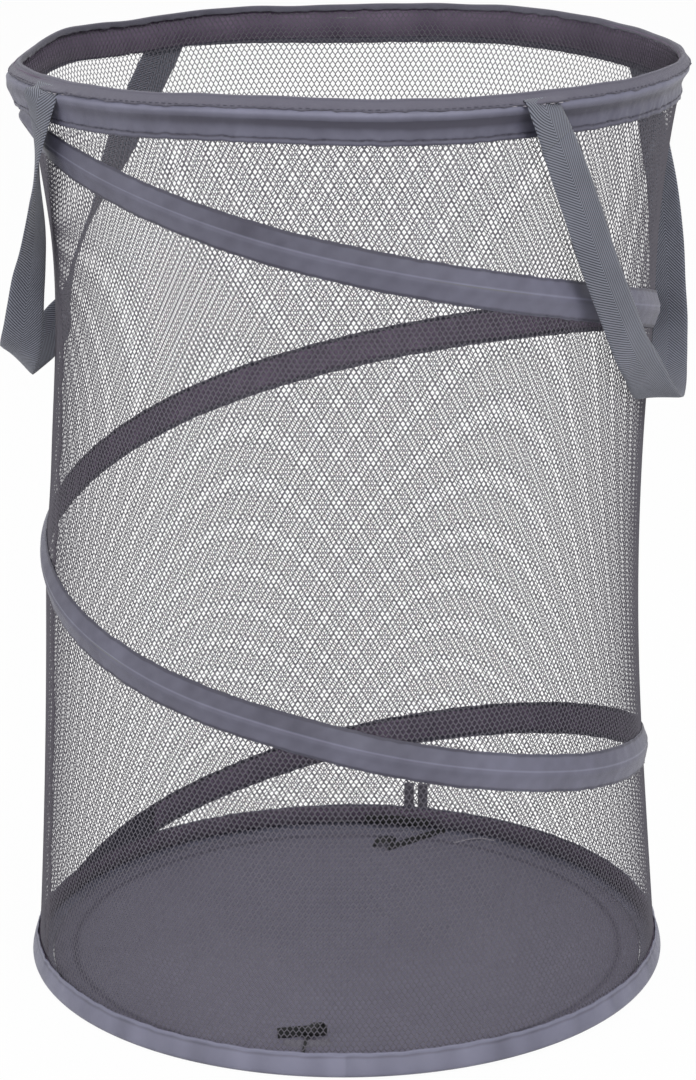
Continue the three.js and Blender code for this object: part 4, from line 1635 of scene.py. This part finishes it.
@dataclass
class Foot:
    """Bottom ring: wire, sleeve over it, base panel and the seam between them."""

    steps: int = 900
    cloth: float = 0.7 * MM
    wire_height: float = 3.1 * MM
    wire_radius: float = 1.2 * MM
    ferrule_radius: float = 1.8 * MM
    arch: float = 3.1 * MM
    bead: float = 0.7 * MM
    foot_in: float = 10 * MM
    seam_in: float = 24 * MM
    seam_half: float = 1.6 * MM
    lining_low: float = 2.4 * MM
    lining_high: float = 14.2 * MM
    lump: float = 1.4 * MM
    lump_degrees: float = 98.0
    lump_half_degrees: float = 2.4
    pucker: float = 0.35 * MM
    sway: float = 0.3 * MM
    ragged: float = 0.15 * MM
    over: float = 0.3 * MM
    flank_off: float = 1.2 * MM
    upper_start: float = 4 * MM
    lump_ramp: tuple[float, float] = (3 * MM, 8 * MM)
    bead_drop: float = 0.8 * MM
    line_drop: float = 2.7 * MM
    line_half: float = 0.6 * MM
    hem_dark: tuple[float, float] = (1.2 * MM, 2.6 * MM)
    cut: tuple[float, float] = (31 * MM, 1262 * MM)
    panel_gap: float = 0.2 * MM
    panel_drop: float = 0.3 * MM
    dimple: float = 0.28 * MM
    fold: float = 0.25 * MM
    fold_reach: float = 9 * MM
    most_lift: float = 0.5 * MM
    edge_reach: float = 6 * MM
    stitch_off: float = 1.75 * MM
    stitch_drop: float = 2.4 * MM
    stitch_lift: float = 0.6 * MM
    panel_thickness: float = 1.2 * MM
    rings: int = 110

    def sleeve(self) -> None:
        """Section from the top edge's bead down the outside, round under the wire and in to the
        base panel's edge, and back on the inside."""
        top = DRUM.foot_band + self.over
        share = np.linspace(1.0, 0.0, 20)
        side_z = self.wire_height + share * (top - self.wire_height)
        flank = DRUM.band_radius + self.flank_off
        full = DRUM.ring_radius + self.arch
        side_r = flank + (full - flank) * (1.0 - share**1.5)
        side_r = side_r + self.bead * bell(share, 0.95, 0.05)
        turn = np.linspace(0.0, -90.0, 7)[1:]
        arch_r = DRUM.ring_radius + self.arch * cosine(turn)
        arch_z = self.wire_height + self.arch * sine(turn)
        foot_r = DRUM.ring_radius - np.array([0.35, 0.7, 1.0]) * self.foot_in
        outer_r = np.concatenate([side_r, arch_r, foot_r])
        outer_z = np.concatenate([side_z, arch_z, np.zeros(3)])
        normal = unit(np.stack([np.gradient(outer_z), -np.gradient(outer_r)], -1))
        inner_r = outer_r + normal[:, 0] * self.cloth
        inner_z = np.maximum(outer_z + normal[:, 1] * self.cloth, self.cloth)
        radius = np.concatenate([outer_r, inner_r[::-1]])
        height = np.concatenate([outer_z, inner_z[::-1]])
        upper = ramp(height, self.upper_start, top)
        lump = self.lump * ramp(height, *self.lump_ramp)

        def offset(bearing: Array) -> tuple[Array, Array]:
            """Shift out and up, for each bearing and corner of the section.

            Args:
                bearing: bearings, as a column.

            Returns:
                Shifts out and up.
            """
            along = DRUM.walked(bearing)
            out = self.pucker * upper * np.maximum(FOOT_FOLDS(along, height) + 0.4, -0.1)
            out = out + lump * bell(bearing, self.lump_degrees, self.lump_half_degrees)
            lift = self.sway * FOOT_SWAY(along) + self.ragged * FOOT_FOLDS(along + 0.2)
            return out, upper * lift

        # Painted highlight on the top edge's bead; the line below it is the dark stitch row, and the
        # face darkens towards its bottom edge.
        rim = -0.34 * bell(outer_z, top - self.bead_drop, self.bead_drop)
        line = 0.4 * bell(outer_z, top - self.line_drop, self.line_half)
        hem = 0.3 * ramp(-outer_z, -self.hem_dark[1], -self.hem_dark[0])
        # The whole outside is lightened by 0.26 as painted light; its inner face is left even.
        shade = np.concatenate([rim + line + hem - 0.26, np.full(len(inner_r), 0.0)])
        patchy = 0.12 * FOOT_PATCHES(DRUM.walked(all_round(self.steps)))
        piece = ring_sheet((radius, height), self.steps, offset, shade + patchy)
        piece = piece.build("bottom_sleeve_cloth")
        dress(piece, NYLON, "nylon", Body.BASE, "bottom_sleeve")

    def lining(self) -> None:
        """The sleeve's own cloth behind the net, an even band."""
        band = LiningBand("foot_lining_cloth", Body.BASE, self.lining_low, self.lining_high,
                          seed=44, shade=0.2, rests_on="net_panel_1")
        band.build(lambda bearing: (np.zeros_like(bearing), np.zeros_like(bearing)))

    def panel(self) -> None:
        """A disc of rings of points whose height dimples a little, closed by its underside."""
        edge = DRUM.ring_radius - self.foot_in - self.panel_gap
        share = np.linspace(0.0005, 1.0, self.rings)
        radius = np.concatenate([share, share[::-1]]) * edge
        top = self.panel_thickness - self.panel_drop
        height = np.concatenate([np.full(self.rings, top), np.zeros(self.rings)])
        upper = height > 0.5 * top

        def offset(bearing: Array) -> tuple[Array, Array]:
            """No shift out, and dimples and puckers up on the upper face.

            Args:
                bearing: bearings, as a column.

            Returns:
                Shifts out and up.
            """
            x, y = radius * sine(bearing), radius * cosine(bearing)
            soft = self.dimple * PANEL_DIMPLES(x + 0.6 * y) * PANEL_DIMPLES(y - 0.4 * x + 1.0)
            near = np.exp(-(edge - radius) / self.fold_reach)
            fold = self.fold * near * PANEL_PUCKERS(np.radians(bearing) * edge)
            lift = np.clip(soft + fold, -self.most_lift, self.most_lift) + 0.7 * self.most_lift
            return np.zeros_like(x), np.where(upper, lift, 0.0)

        # Painted shade darkens the panel towards its edge, under the sleeve; the narrow ring further
        # in is the dark seam line.
        shade = 0.25 * np.exp(-(edge - radius) / self.edge_reach)
        shade = shade + 1.4 * bell(radius, DRUM.ring_radius - self.seam_in, self.seam_half)
        sheet = ring_sheet((radius, height), 360, offset, shade)
        piece = sheet.build("base_panel_cloth")
        dress(piece, PANEL, "panel", Body.BASE, "base_panel")

    def seams(self) -> None:
        """Stitches round the sleeve's top edge and round the base panel's edge."""
        side, top = DRUM.band_radius + self.stitch_off, DRUM.foot_band - self.stitch_drop
        inside, panel = DRUM.ring_radius - self.seam_in, self.panel_thickness + self.stitch_lift
        rows = {
            "foot_top_stitches": (side, top, True),
            "base_edge_stitches": (inside, panel, False),
        }
        for name, (radius, height, outward) in rows.items():
            bearing = FOOT_STITCHES.bearings(radius)
            centre = DRUM.at(radius, bearing, height)
            out = DRUM.out(bearing) if outward else np.tile([0.0, 0.0, 1.0], (len(bearing), 1))
            piece = FOOT_STITCHES.build(name, centre, DRUM.round(bearing), out)
            dress(piece, STITCH, "nylon", Body.BASE)

    def build(self) -> None:
        """Builds the wire with its ferrule, the sleeve, the panel and the stitches."""
        ring_wire("foot_ring_wire", "bottom_ring_wire", Body.BASE, self.wire_height, STEEL,
                  178.5, self.wire_radius)
        ring_wire("foot_ring_ferrule", "bottom_ring_ferrule", Body.BASE, self.wire_height, STEEL,
                  2.0, self.ferrule_radius)
        self.sleeve()
        self.lining()
        self.panel()
        self.seams()


@dataclass
class SideSeam:
    """The hem tape inside the net's upright seam."""

    bearing: float = -75.0
    width: float = 10 * MM
    thickness: float = 0.5 * MM
    rows: int = 260
    low: float = 2.5 * MM
    high: float = 560 * MM
    sway: float = 1.6 * MM
    curl: float = 0.35 * MM
    behind: float = 1 * MM
    least_behind: float = 0.3 * MM

    def build(self) -> None:
        """A strip behind the net that sways a little from side to side as it goes up."""
        height = np.linspace(self.low, self.high, self.rows)[:, None]
        sway = SEAM_SWAY(height) * self.sway
        across, through = ribbon_section(self.width, self.thickness, 7)
        curl = SEAM_CURL(height, across) * self.curl
        radius = DRUM.net_radius(self.bearing, height) - self.behind + through + curl
        bearing = self.bearing + np.degrees((across + sway) / DRUM.spiral_net_radius)
        most = DRUM.net_radius(bearing, height) - self.least_behind
        points = DRUM.at(np.minimum(radius, most), bearing, height)
        edge = bell(across / self.width, 0.36, 0.12)
        sheet = Sheet(points, np.append(height[:, 0], self.high), np.append(across, across[0]),
                      np.broadcast_to(edge, points.shape[:2]), capped=True)
        piece = dress(sheet.build("side_seam_hem"), HEM, "net", Body.BASE, "side_seam_tape")
        self.high - self.low
        FOLD.squash(piece)


@dataclass
class Handle:
    """One carry handle: a loop of webbing and the two roots that are stitched to the rim.

    Its route is a list of stations: bearing, height and radius in millimetres, and how far the
    webbing has turned about its own run. At 0 degrees it lies on the drum, and at 90 degrees the
    edge that was on the loop's inner side points straight out.
    """

    side: Side
    route: list[tuple[float, float, float, float]]
    width: float = 25 * MM
    thickness: float = 1.5 * MM
    root_low: float = 552 * MM
    root_high: float = 573 * MM
    root_off: float = 1.0 * MM
    hinge_height: float = 571.2 * MM
    tack_share: float = 0.7
    tack_drop: float = 0.5 * MM
    tack_off: float = 0.25 * MM
    rows: int = 320
    squash_keep: float = 0.08
    rim: Rim = field(default_factory=Rim)

    @property
    def body(self) -> Body:
        """The body that the loop rides on."""
        return Body.LEFT if self.side is Side.LEFT else Body.RIGHT

    @property
    def roots(self) -> tuple[float, float]:
        """Bearings of the two roots."""
        return (self.route[0][0], self.route[-1][0])

    def stations(self) -> tuple[Array, Array, Array, Array]:
        """Bearing, height, radius and turn, evenly spaced along a smooth curve through the
        route. The first and last are set on the rim's face, under the binding.

        Returns:
            Four arrays of one length.
        """
        route = np.array(self.route, float)
        ends = [0, -1]
        route[ends, 1] = (self.root_high + DRUM.wave(route[ends, 0])) / MM
        face = self.rim.face(np.array(self.root_high)) + self.root_off
        route[ends, 2] = (face + self.rim.shift(route[ends, 0], np.array(self.root_high))) / MM
        fine = curve(route, 10 * self.rows) * np.array([1.0, MM, MM, 1.0])
        walked = distances(DRUM.at(fine[:, 2], fine[:, 0], fine[:, 1]))
        even = np.linspace(0.0, walked[-1], self.rows)
        return tuple(np.interp(even, walked, column) for column in fine.T)

    def sections(self, bearing: Array, height: Array, radius: Array,
                 turn: Array) -> tuple[Array, Array, Array]:
        """Cross-sections of the webbing. Its width lies between the direction out from the drum
        and the one towards the loop's inside, as the turn says.

        Args:
            bearing, height, radius: places of its middle.
            turn: degrees about its own run.

        Returns:
            Points, places along the webbing and places across it.
        """
        centre = DRUM.at(radius, bearing, height)
        run = unit(np.gradient(centre, axis=0))
        inward = unit(np.cross(run, DRUM.out(bearing)))
        if self.side is Side.RIGHT:
            inward = -inward
        out = DRUM.out(bearing)
        out = unit(out - run * np.sum(out * run, axis=1, keepdims=True))
        wide = out * sine(turn)[:, None] + inward * cosine(turn)[:, None]
        face = np.cross(wide, run)
        across, through = ribbon_section(self.width, self.thickness, 13)
        count = (len(height), len(across))
        points = swept(centre, face, wide, np.broadcast_to(across, count),
                       np.broadcast_to(through, count))
        return points, distances(centre), np.append(across, across[0])

    def build(self) -> None:
        """Builds the loop and both roots, and the stitches that hold the roots."""
        bearing, height, radius, turn = self.stations()
        points, along, across = self.sections(bearing, height, radius, turn)
        name = self.side.value
        ends = {"a": height >= self.root_low, "b": height >= self.root_low}
        first = int(np.argmin(ends["a"]))
        last = len(height) - int(np.argmin(ends["b"][::-1]))
        spans = {
            "a": slice(0, first + 1),
            "loop": slice(first, last),
            "b": slice(last - 1, len(height)),
        }
        for key, span in spans.items():
            part = points[span]
            place = np.append(along[span], along[span][-1])
            sheet = Sheet(part, place, across, np.zeros(part.shape[:2]), capped=True)
            if key == "loop":
                piece = dress(sheet.build(f"{name}_handle_loop"), WEBBING, "webbing", self.body,
                              f"{name}_handle")
                anchor = float(part[0, :, 2].mean() + part[-1, :, 2].mean()) / 2.0
                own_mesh(piece)
                continue
            piece = dress(sheet.build(f"{name}_handle_root_{key}"), WEBBING, "webbing", None,
                          f"{name}_handle_tab_{key}")
            end = bearing[0] if key == "a" else bearing[-1]
            start = DRUM.at(self.rim.ridge_radius, end, self.hinge_height)
            stop = DRUM.at(self.rim.ridge_radius, end, self.root_low)
            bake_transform(piece)
            self.tacks(f"{name}_tacks_{key}", float(end))

    def tacks(self, name: str, root_degrees: float) -> None:
        """Light stitches that run round the rim through a root and a little past both sides,
        just under the binding.

        Args:
            name: the piece's name.
            root_degrees: bearing of the root.
        """
        reach = math.degrees(self.width * self.tack_share / self.rim.ridge_radius)
        count = TACK_STITCHES.count(math.radians(2.0 * reach) * self.rim.ridge_radius)
        bearing = np.linspace(root_degrees - reach, root_degrees + reach, count)
        height = np.full(count, DRUM.height - self.rim.binding - self.tack_drop)
        over = np.abs(bearing - root_degrees) < math.degrees(
            self.width / 2.0 / self.rim.ridge_radius)
        radius = self.rim.face(height) + self.rim.shift(bearing, height)
        radius = radius + self.tack_off + over * (self.thickness + 2.0 * self.tack_off)
        centre = DRUM.at(radius, bearing, height + DRUM.wave(bearing))
        piece = TACK_STITCHES.build(name, centre, DRUM.round(bearing), DRUM.out(bearing))
        dress(piece, TACK, "webbing", Body.RIM)


# Stations of the two handles: bearing, height, radius and turn
RIGHT_ROUTE = [
    (31.6, 573, 202, -6), (31.9, 567, 207.5, -16), (34.4, 549, 207, -5), (37.3, 528, 206, 4),
    (40.1, 507, 205.5, 8), (43, 485, 205, 10), (46.7, 461, 204.5, 13), (53.5, 424, 203, 20),
    (58, 409, 201.5, 30), (62.5, 396, 199.5, 46), (68, 384, 197.5, 67), (75, 376, 196, 88),
    (83, 374, 195.5, 90), (90.5, 379, 197.5, 75), (95, 391, 200.5, 58), (98, 406, 203, 48),
    (101, 425, 204.5, 41), (104, 449, 206, 39), (107, 480, 206.5, 27), (111, 510, 206.5, 16),
    (115, 545, 206.5, 6), (118.5, 566, 206, 0), (118.5, 573, 202, 0),
]
LEFT_ROUTE = [
    (-57, 573, 202, 188), (-57, 567, 207.5, 194), (-58.6, 553, 206, 178), (-61, 535, 203.5, 163),
    (-64, 519, 200, 156), (-66.5, 507, 198, 150), (-69.5, 488, 196, 139), (-72.3, 471, 195, 129),
    (-74.2, 455, 196, 119), (-75.2, 436, 198, 110), (-77, 417, 199.5, 95), (-81, 400, 200.5, 66),
    (-87, 391, 201, 42), (-95, 388, 199, 38), (-103, 391, 195, 36), (-108.5, 400, 192, 18),
    (-112, 413, 191.5, -14), (-116, 432, 193, -28), (-120, 448, 194, -33), (-124, 463, 195, -32),
    (-128.5, 482, 197, -15), (-134, 503, 200.5, 2), (-140.5, 533, 204.5, 5),
    (-145, 556, 206.5, 1), (-146, 566, 206, 0), (-146, 573, 202, 0),
]


@dataclass(frozen=True)
class Ribbon:
    """Flat ribbon along a smooth curve through a few listed points."""

    width: float = 6.6 * MM
    thickness: float = 0.9 * MM
    thread_width: float = 2 * MM
    cut_width: float = 10 * MM
    rows: int = 70

    def build(self, name: str, route: list[tuple], wide: list[tuple], *nodes: str,
              finish: object = None) -> bpy.types.Object:
        """Sweeps a ribbon's section along its route.

        Args:
            name: the piece's name.
            route: points along its middle, in millimetres.
            wide: direction of its width at each of them.
            nodes: CAD nodes that it replaces.
            finish: its look; black ribbon, dark also as painted shade, unless given.

        Returns:
            The dressed ribbon.
        """
        centre = curve(np.array(route, float) * MM, self.rows)
        forward = unit(np.gradient(centre, axis=0))
        side = curve(np.array(wide, float), self.rows)
        side = unit(side - forward * np.sum(side * forward, axis=1, keepdims=True))
        out = np.cross(side, forward)
        across, through = ribbon_section(self.width, self.thickness, 9)
        count = (self.rows, len(across))
        points = swept(centre, out, side, np.broadcast_to(across, count),
                       np.broadcast_to(through, count))
        along = distances(centre)
        sheet = Sheet(points, np.append(along, along[-1]), np.append(across, across[0]),
                      capped=True)
        piece = dress(sheet.build(name), finish or SHADE_BLACK_RIBBON, "ribbon", Body.BASE, *nodes)
        return piece


@dataclass
class Ties:
    """The ribbon ties that hold the folded hamper: a doubled loop at the foot of the net at the
    back, and a knotted tail on the base panel at the front and at the back. The black tails and
    knots also stand for the deep shade in the gaps there, and a black strip along the back foot is a
    painted shadow under the foot's sleeve."""

    ribbon: Ribbon = Ribbon()
    stem: Ribbon = Ribbon(width=1.9 * MM)
    thread: Ribbon = Ribbon(width=1.1 * MM, thickness=0.6 * MM)
    back_degrees: float = 166.0
    loop_height: float = 31.0
    loop_radius: float = 201.0
    loop_half: float = 4.9
    fold: float = 0.9

    def loop(self) -> None:
        """The doubled loop: two lengths side by side, each up the drum, over in a tight fold and
        down again behind itself."""
        turn = np.linspace(0.0, 180.0, 7)
        off = np.concatenate([np.zeros(3), self.fold - self.fold * cosine(turn),
                              np.full(3, 2.0 * self.fold)])
        up = np.concatenate([[4.0, 12.0, 20.0], self.loop_height + self.fold * sine(turn),
                             [20.0, 12.0, 4.0]])
        names = {-1: ("back_tie_loop_near", "back_tie_loop"), 1: ("back_tie_loop_far",)}
        for side, (name, *nodes) in names.items():
            bearing = self.back_degrees + side * math.degrees(
                self.loop_half * MM / DRUM.ring_radius)
            route = DRUM.at((self.loop_radius + off) * MM, bearing, up * MM) / MM
            wide = np.tile(DRUM.round(np.array(bearing)), (len(up), 1))
            self.ribbon.build(name, route.tolist(), wide.tolist(), *nodes, finish=FADED)

    def build(self) -> None:
        """Builds the loop, both tails with their knots, a black strip of painted shadow along the
        back foot, and a loose light thread that also stands for a glint.
        """
        self.loop()
        tail, flat = self.ribbon, (0.0, 0.0, 1.0)
        # Black front tail, stem and knot: real ties whose black also stands for the deep shade in
        # the gap there.
        front = [(-42, -149.5, 5.0), (-33, -148.5, 5.6), (-23, -147.5, 5.8), (-12, -145.5, 5.0)]
        tail.build("front_tie_tail", front, [(0, 0.3, 1)] * 4, "front_tie_knot")
        fold = [(-38, -158.5, 2.6), (-28, -160.5, 3.0), (-18, -159.5, 2.8), (-10, -157.5, 2.4)]
        tail.build("front_tie_fold", fold, [(0, 1, 0.5)] * 4, finish=FADED)
        stem = [(-24, -152.5, 5.0), (-25, -160.5, 4.4), (-26, -170, 3.6), (-27, -182, 3.2)]
        self.stem.build("front_tie_stem", stem, [(1, 0, 0.2)] * 4)
        knot = [(-24, -150.5, 4), (-22, -151.5, 8), (-18, -146.5, 10.5), (-15, -142.5, 7),
                (-16, -141.5, 3.2), (-20, -145.5, 2.6), (-26, -150.5, 3.4)]
        tail.build("front_tie_knot_wrap", knot, [(1, -0.6, 0.3)] * 7)
        # Black back tail and knot: real ties whose black also stands for the deep shade in the gap
        # there.
        back = [(29, 148, 3.0), (42, 158, 3.4), (56, 170, 3.2), (69, 181, 3.0)]
        tail.build("back_tie_tail", back, [(0, 0.5, 1)] * 4, "back_tie_knot")
        blob = [(19, 158, 3.2), (23, 153, 7.5), (29, 152, 8.5), (33, 157, 4.4), (29, 162, 3.0),
                (22, 162, 3.4)]
        tail.build("back_tie_knot_wrap", blob, [(0.3, 1, 0.6)] * 6)
        # A black strip along the back wall's foot: painted shadow under the foot's sleeve.
        ledge_shadow = [(13, 191, 8.4), (28, 189.5, 8.6), (44, 186.5, 8.6), (58, 183, 8.2)]
        tail.build("back_foot_painted_shadow", ledge_shadow, [flat] * 4)
        # A loose light thread, whose light colour also stands for a thin glint by the back tail.
        thread = [(74, 160, 2.6), (84, 164, 3.6), (94, 167, 3.4), (103, 165, 2.6)]
        self.thread.build("loose_thread_glint", thread, [(0, 1, 0.4)] * 4, finish=TACK)


@dataclass(frozen=True)
class Studio:
    """Floor, light and camera."""

    camera_back: float = 1.924
    camera_height: float = 0.853
    pitch_degrees: float = 16.80
    lens: float = 106.98
    sensor: float = 36.0
    shift: float = 0.0011
    floor_size: float = 24.0
    sky_level: float = 0.40
    floor_drop: float = 0.4 * MM
    floor_glow: float = 0.97
    lamps: tuple[tuple, ...] = (
        ("key", (1.05, -2.3, 2.25), 1.2, 44.0, (0.0, 0.0, 0.3)),
        ("fill", (-1.9, -1.4, 1.1), 1.6, 16.0, (0.0, 0.0, 0.3)),
        ("top", (0.1, 0.4, 2.6), 1.6, 16.0, (0.0, 0.0, 0.2)),
    )

    def floor(self) -> None:
        """A white floor that glows to the camera and keeps a little of the shadow."""
        half = self.floor_size / 2.0
        corners = np.array([[-1, -1, 0], [1, -1, 0], [1, 1, 0], [-1, 1, 0]]) * half
        corners = corners - [0, 0, self.floor_drop]
        piece = mesh_object("studio_floor", corners, [np.array([[0, 1, 2, 3]])])
        shader = Shader("studio_floor")
        grain = shader.noise(shader.place(), 30.0, 2.0)
        shader.set(Base_Color=shader.mix(grain, paint(244, 244, 244), paint(238, 238, 238)),
                   Roughness=0.9)
        white = shader.node("ShaderNodeEmission", {}, Color=(1.0, 1.0, 1.0, 1.0), Strength=1.0)
        seen = seen_by_eye(shader) * self.floor_glow
        both = shader.node("ShaderNodeMixShader", {}, seen, Value(shader, shader.surface.outputs[0]),
                           white)
        output = shader.tree.nodes["Material Output"]
        shader.tree.links.new(both.socket, output.inputs["Surface"])
        piece.data.materials.append(shader.material)

    def sky(self) -> None:
        """A world that is white to the eye and a soft grey light to the object."""
        world = bpy.data.worlds.new("studio_sky")
        bpy.context.scene.world = world
        world.use_nodes = True
        shader = Shader("studio_sky", world.node_tree)
        background = world.node_tree.nodes["Background"]
        seen = seen_by_eye(shader)
        shader.feed(background.inputs["Color"],
                    shader.mix(seen, (self.sky_level,) * 3 + (1.0,), (1.0, 1.0, 1.0, 1.0)))
        background.inputs["Strength"].default_value = 1.0

    def lamp(self, name: str, place: tuple[float, float, float], size: float, power: float,
             aim: tuple[float, float, float]) -> None:
        """Adds a soft area lamp that faces a point.

        Args:
            name: the lamp's name.
            place: where it stands.
            size: its diameter.
            power: in watts.
            aim: the point.
        """
        data = bpy.data.lights.new(name, "AREA")
        data.shape, data.size, data.energy = "DISK", size, power
        lamp = bpy.data.objects.new(name, data)
        bpy.context.scene.collection.objects.link(lamp)
        way = np.array(aim) - np.array(place)
        back = -way / np.linalg.norm(way)
        right = unit(np.cross([0.0, 0.0, 1.0], back))
        up = np.cross(back, right)
        turned = Matrix(np.stack([right, up, back], -1).tolist()).to_4x4()
        turned.translation = place
        lamp.matrix_world = turned

    def camera(self) -> None:
        """A camera at the photograph's place, which looks along +Y and a little down."""
        data = bpy.data.cameras.new("studio_camera")
        data.lens, data.sensor_width, data.sensor_fit = self.lens, self.sensor, "AUTO"
        data.clip_start, data.clip_end, data.shift_x = 0.05, 50.0, self.shift
        camera = bpy.data.objects.new("studio_camera", data)
        bpy.context.scene.collection.objects.link(camera)
        camera.location = (0.0, -self.camera_back, self.camera_height)
        camera.rotation_euler = (math.radians(90.0 - self.pitch_degrees), 0.0, 0.0)
        bpy.context.scene.camera = camera

    def build(self) -> None:
        """Builds the stage."""
        bpy.context.scene.view_settings.view_transform = "Standard"
        self.floor()
        self.sky()
        for lamp in self.lamps:
            self.lamp(*lamp)
        self.camera()


def seen_by_eye(shader: Shader) -> Value:
    """1 for rays from the camera, off gloss and through clear things, otherwise 0.

    Args:
        shader: what the value is for.

    Returns:
        The value.
    """
    path = shader.node("ShaderNodeLightPath", {}, out="Is Camera Ray")
    outputs = path.socket.node.outputs
    other = Value(shader, outputs["Is Glossy Ray"]).maths(
        "MAXIMUM", Value(shader, outputs["Is Transmission Ray"]))
    return path.maths("MAXIMUM", other)


def main() -> None:
    """Builds the stage and every sub-assembly."""
    logging.basicConfig(level=logging.INFO, format="%(name)s: %(message)s")
    Studio().build()
    left = Handle(Side.LEFT, LEFT_ROUTE)
    right = Handle(Side.RIGHT, RIGHT_ROUTE)
    Rim(straps=(*left.roots, *right.roots)).build()
    Foot().build()
    Spiral().build()
    NetWall().build()
    SideSeam().build()
    left.build()
    right.build()
    Ties().build()


if __name__ == "__main__":
    main()
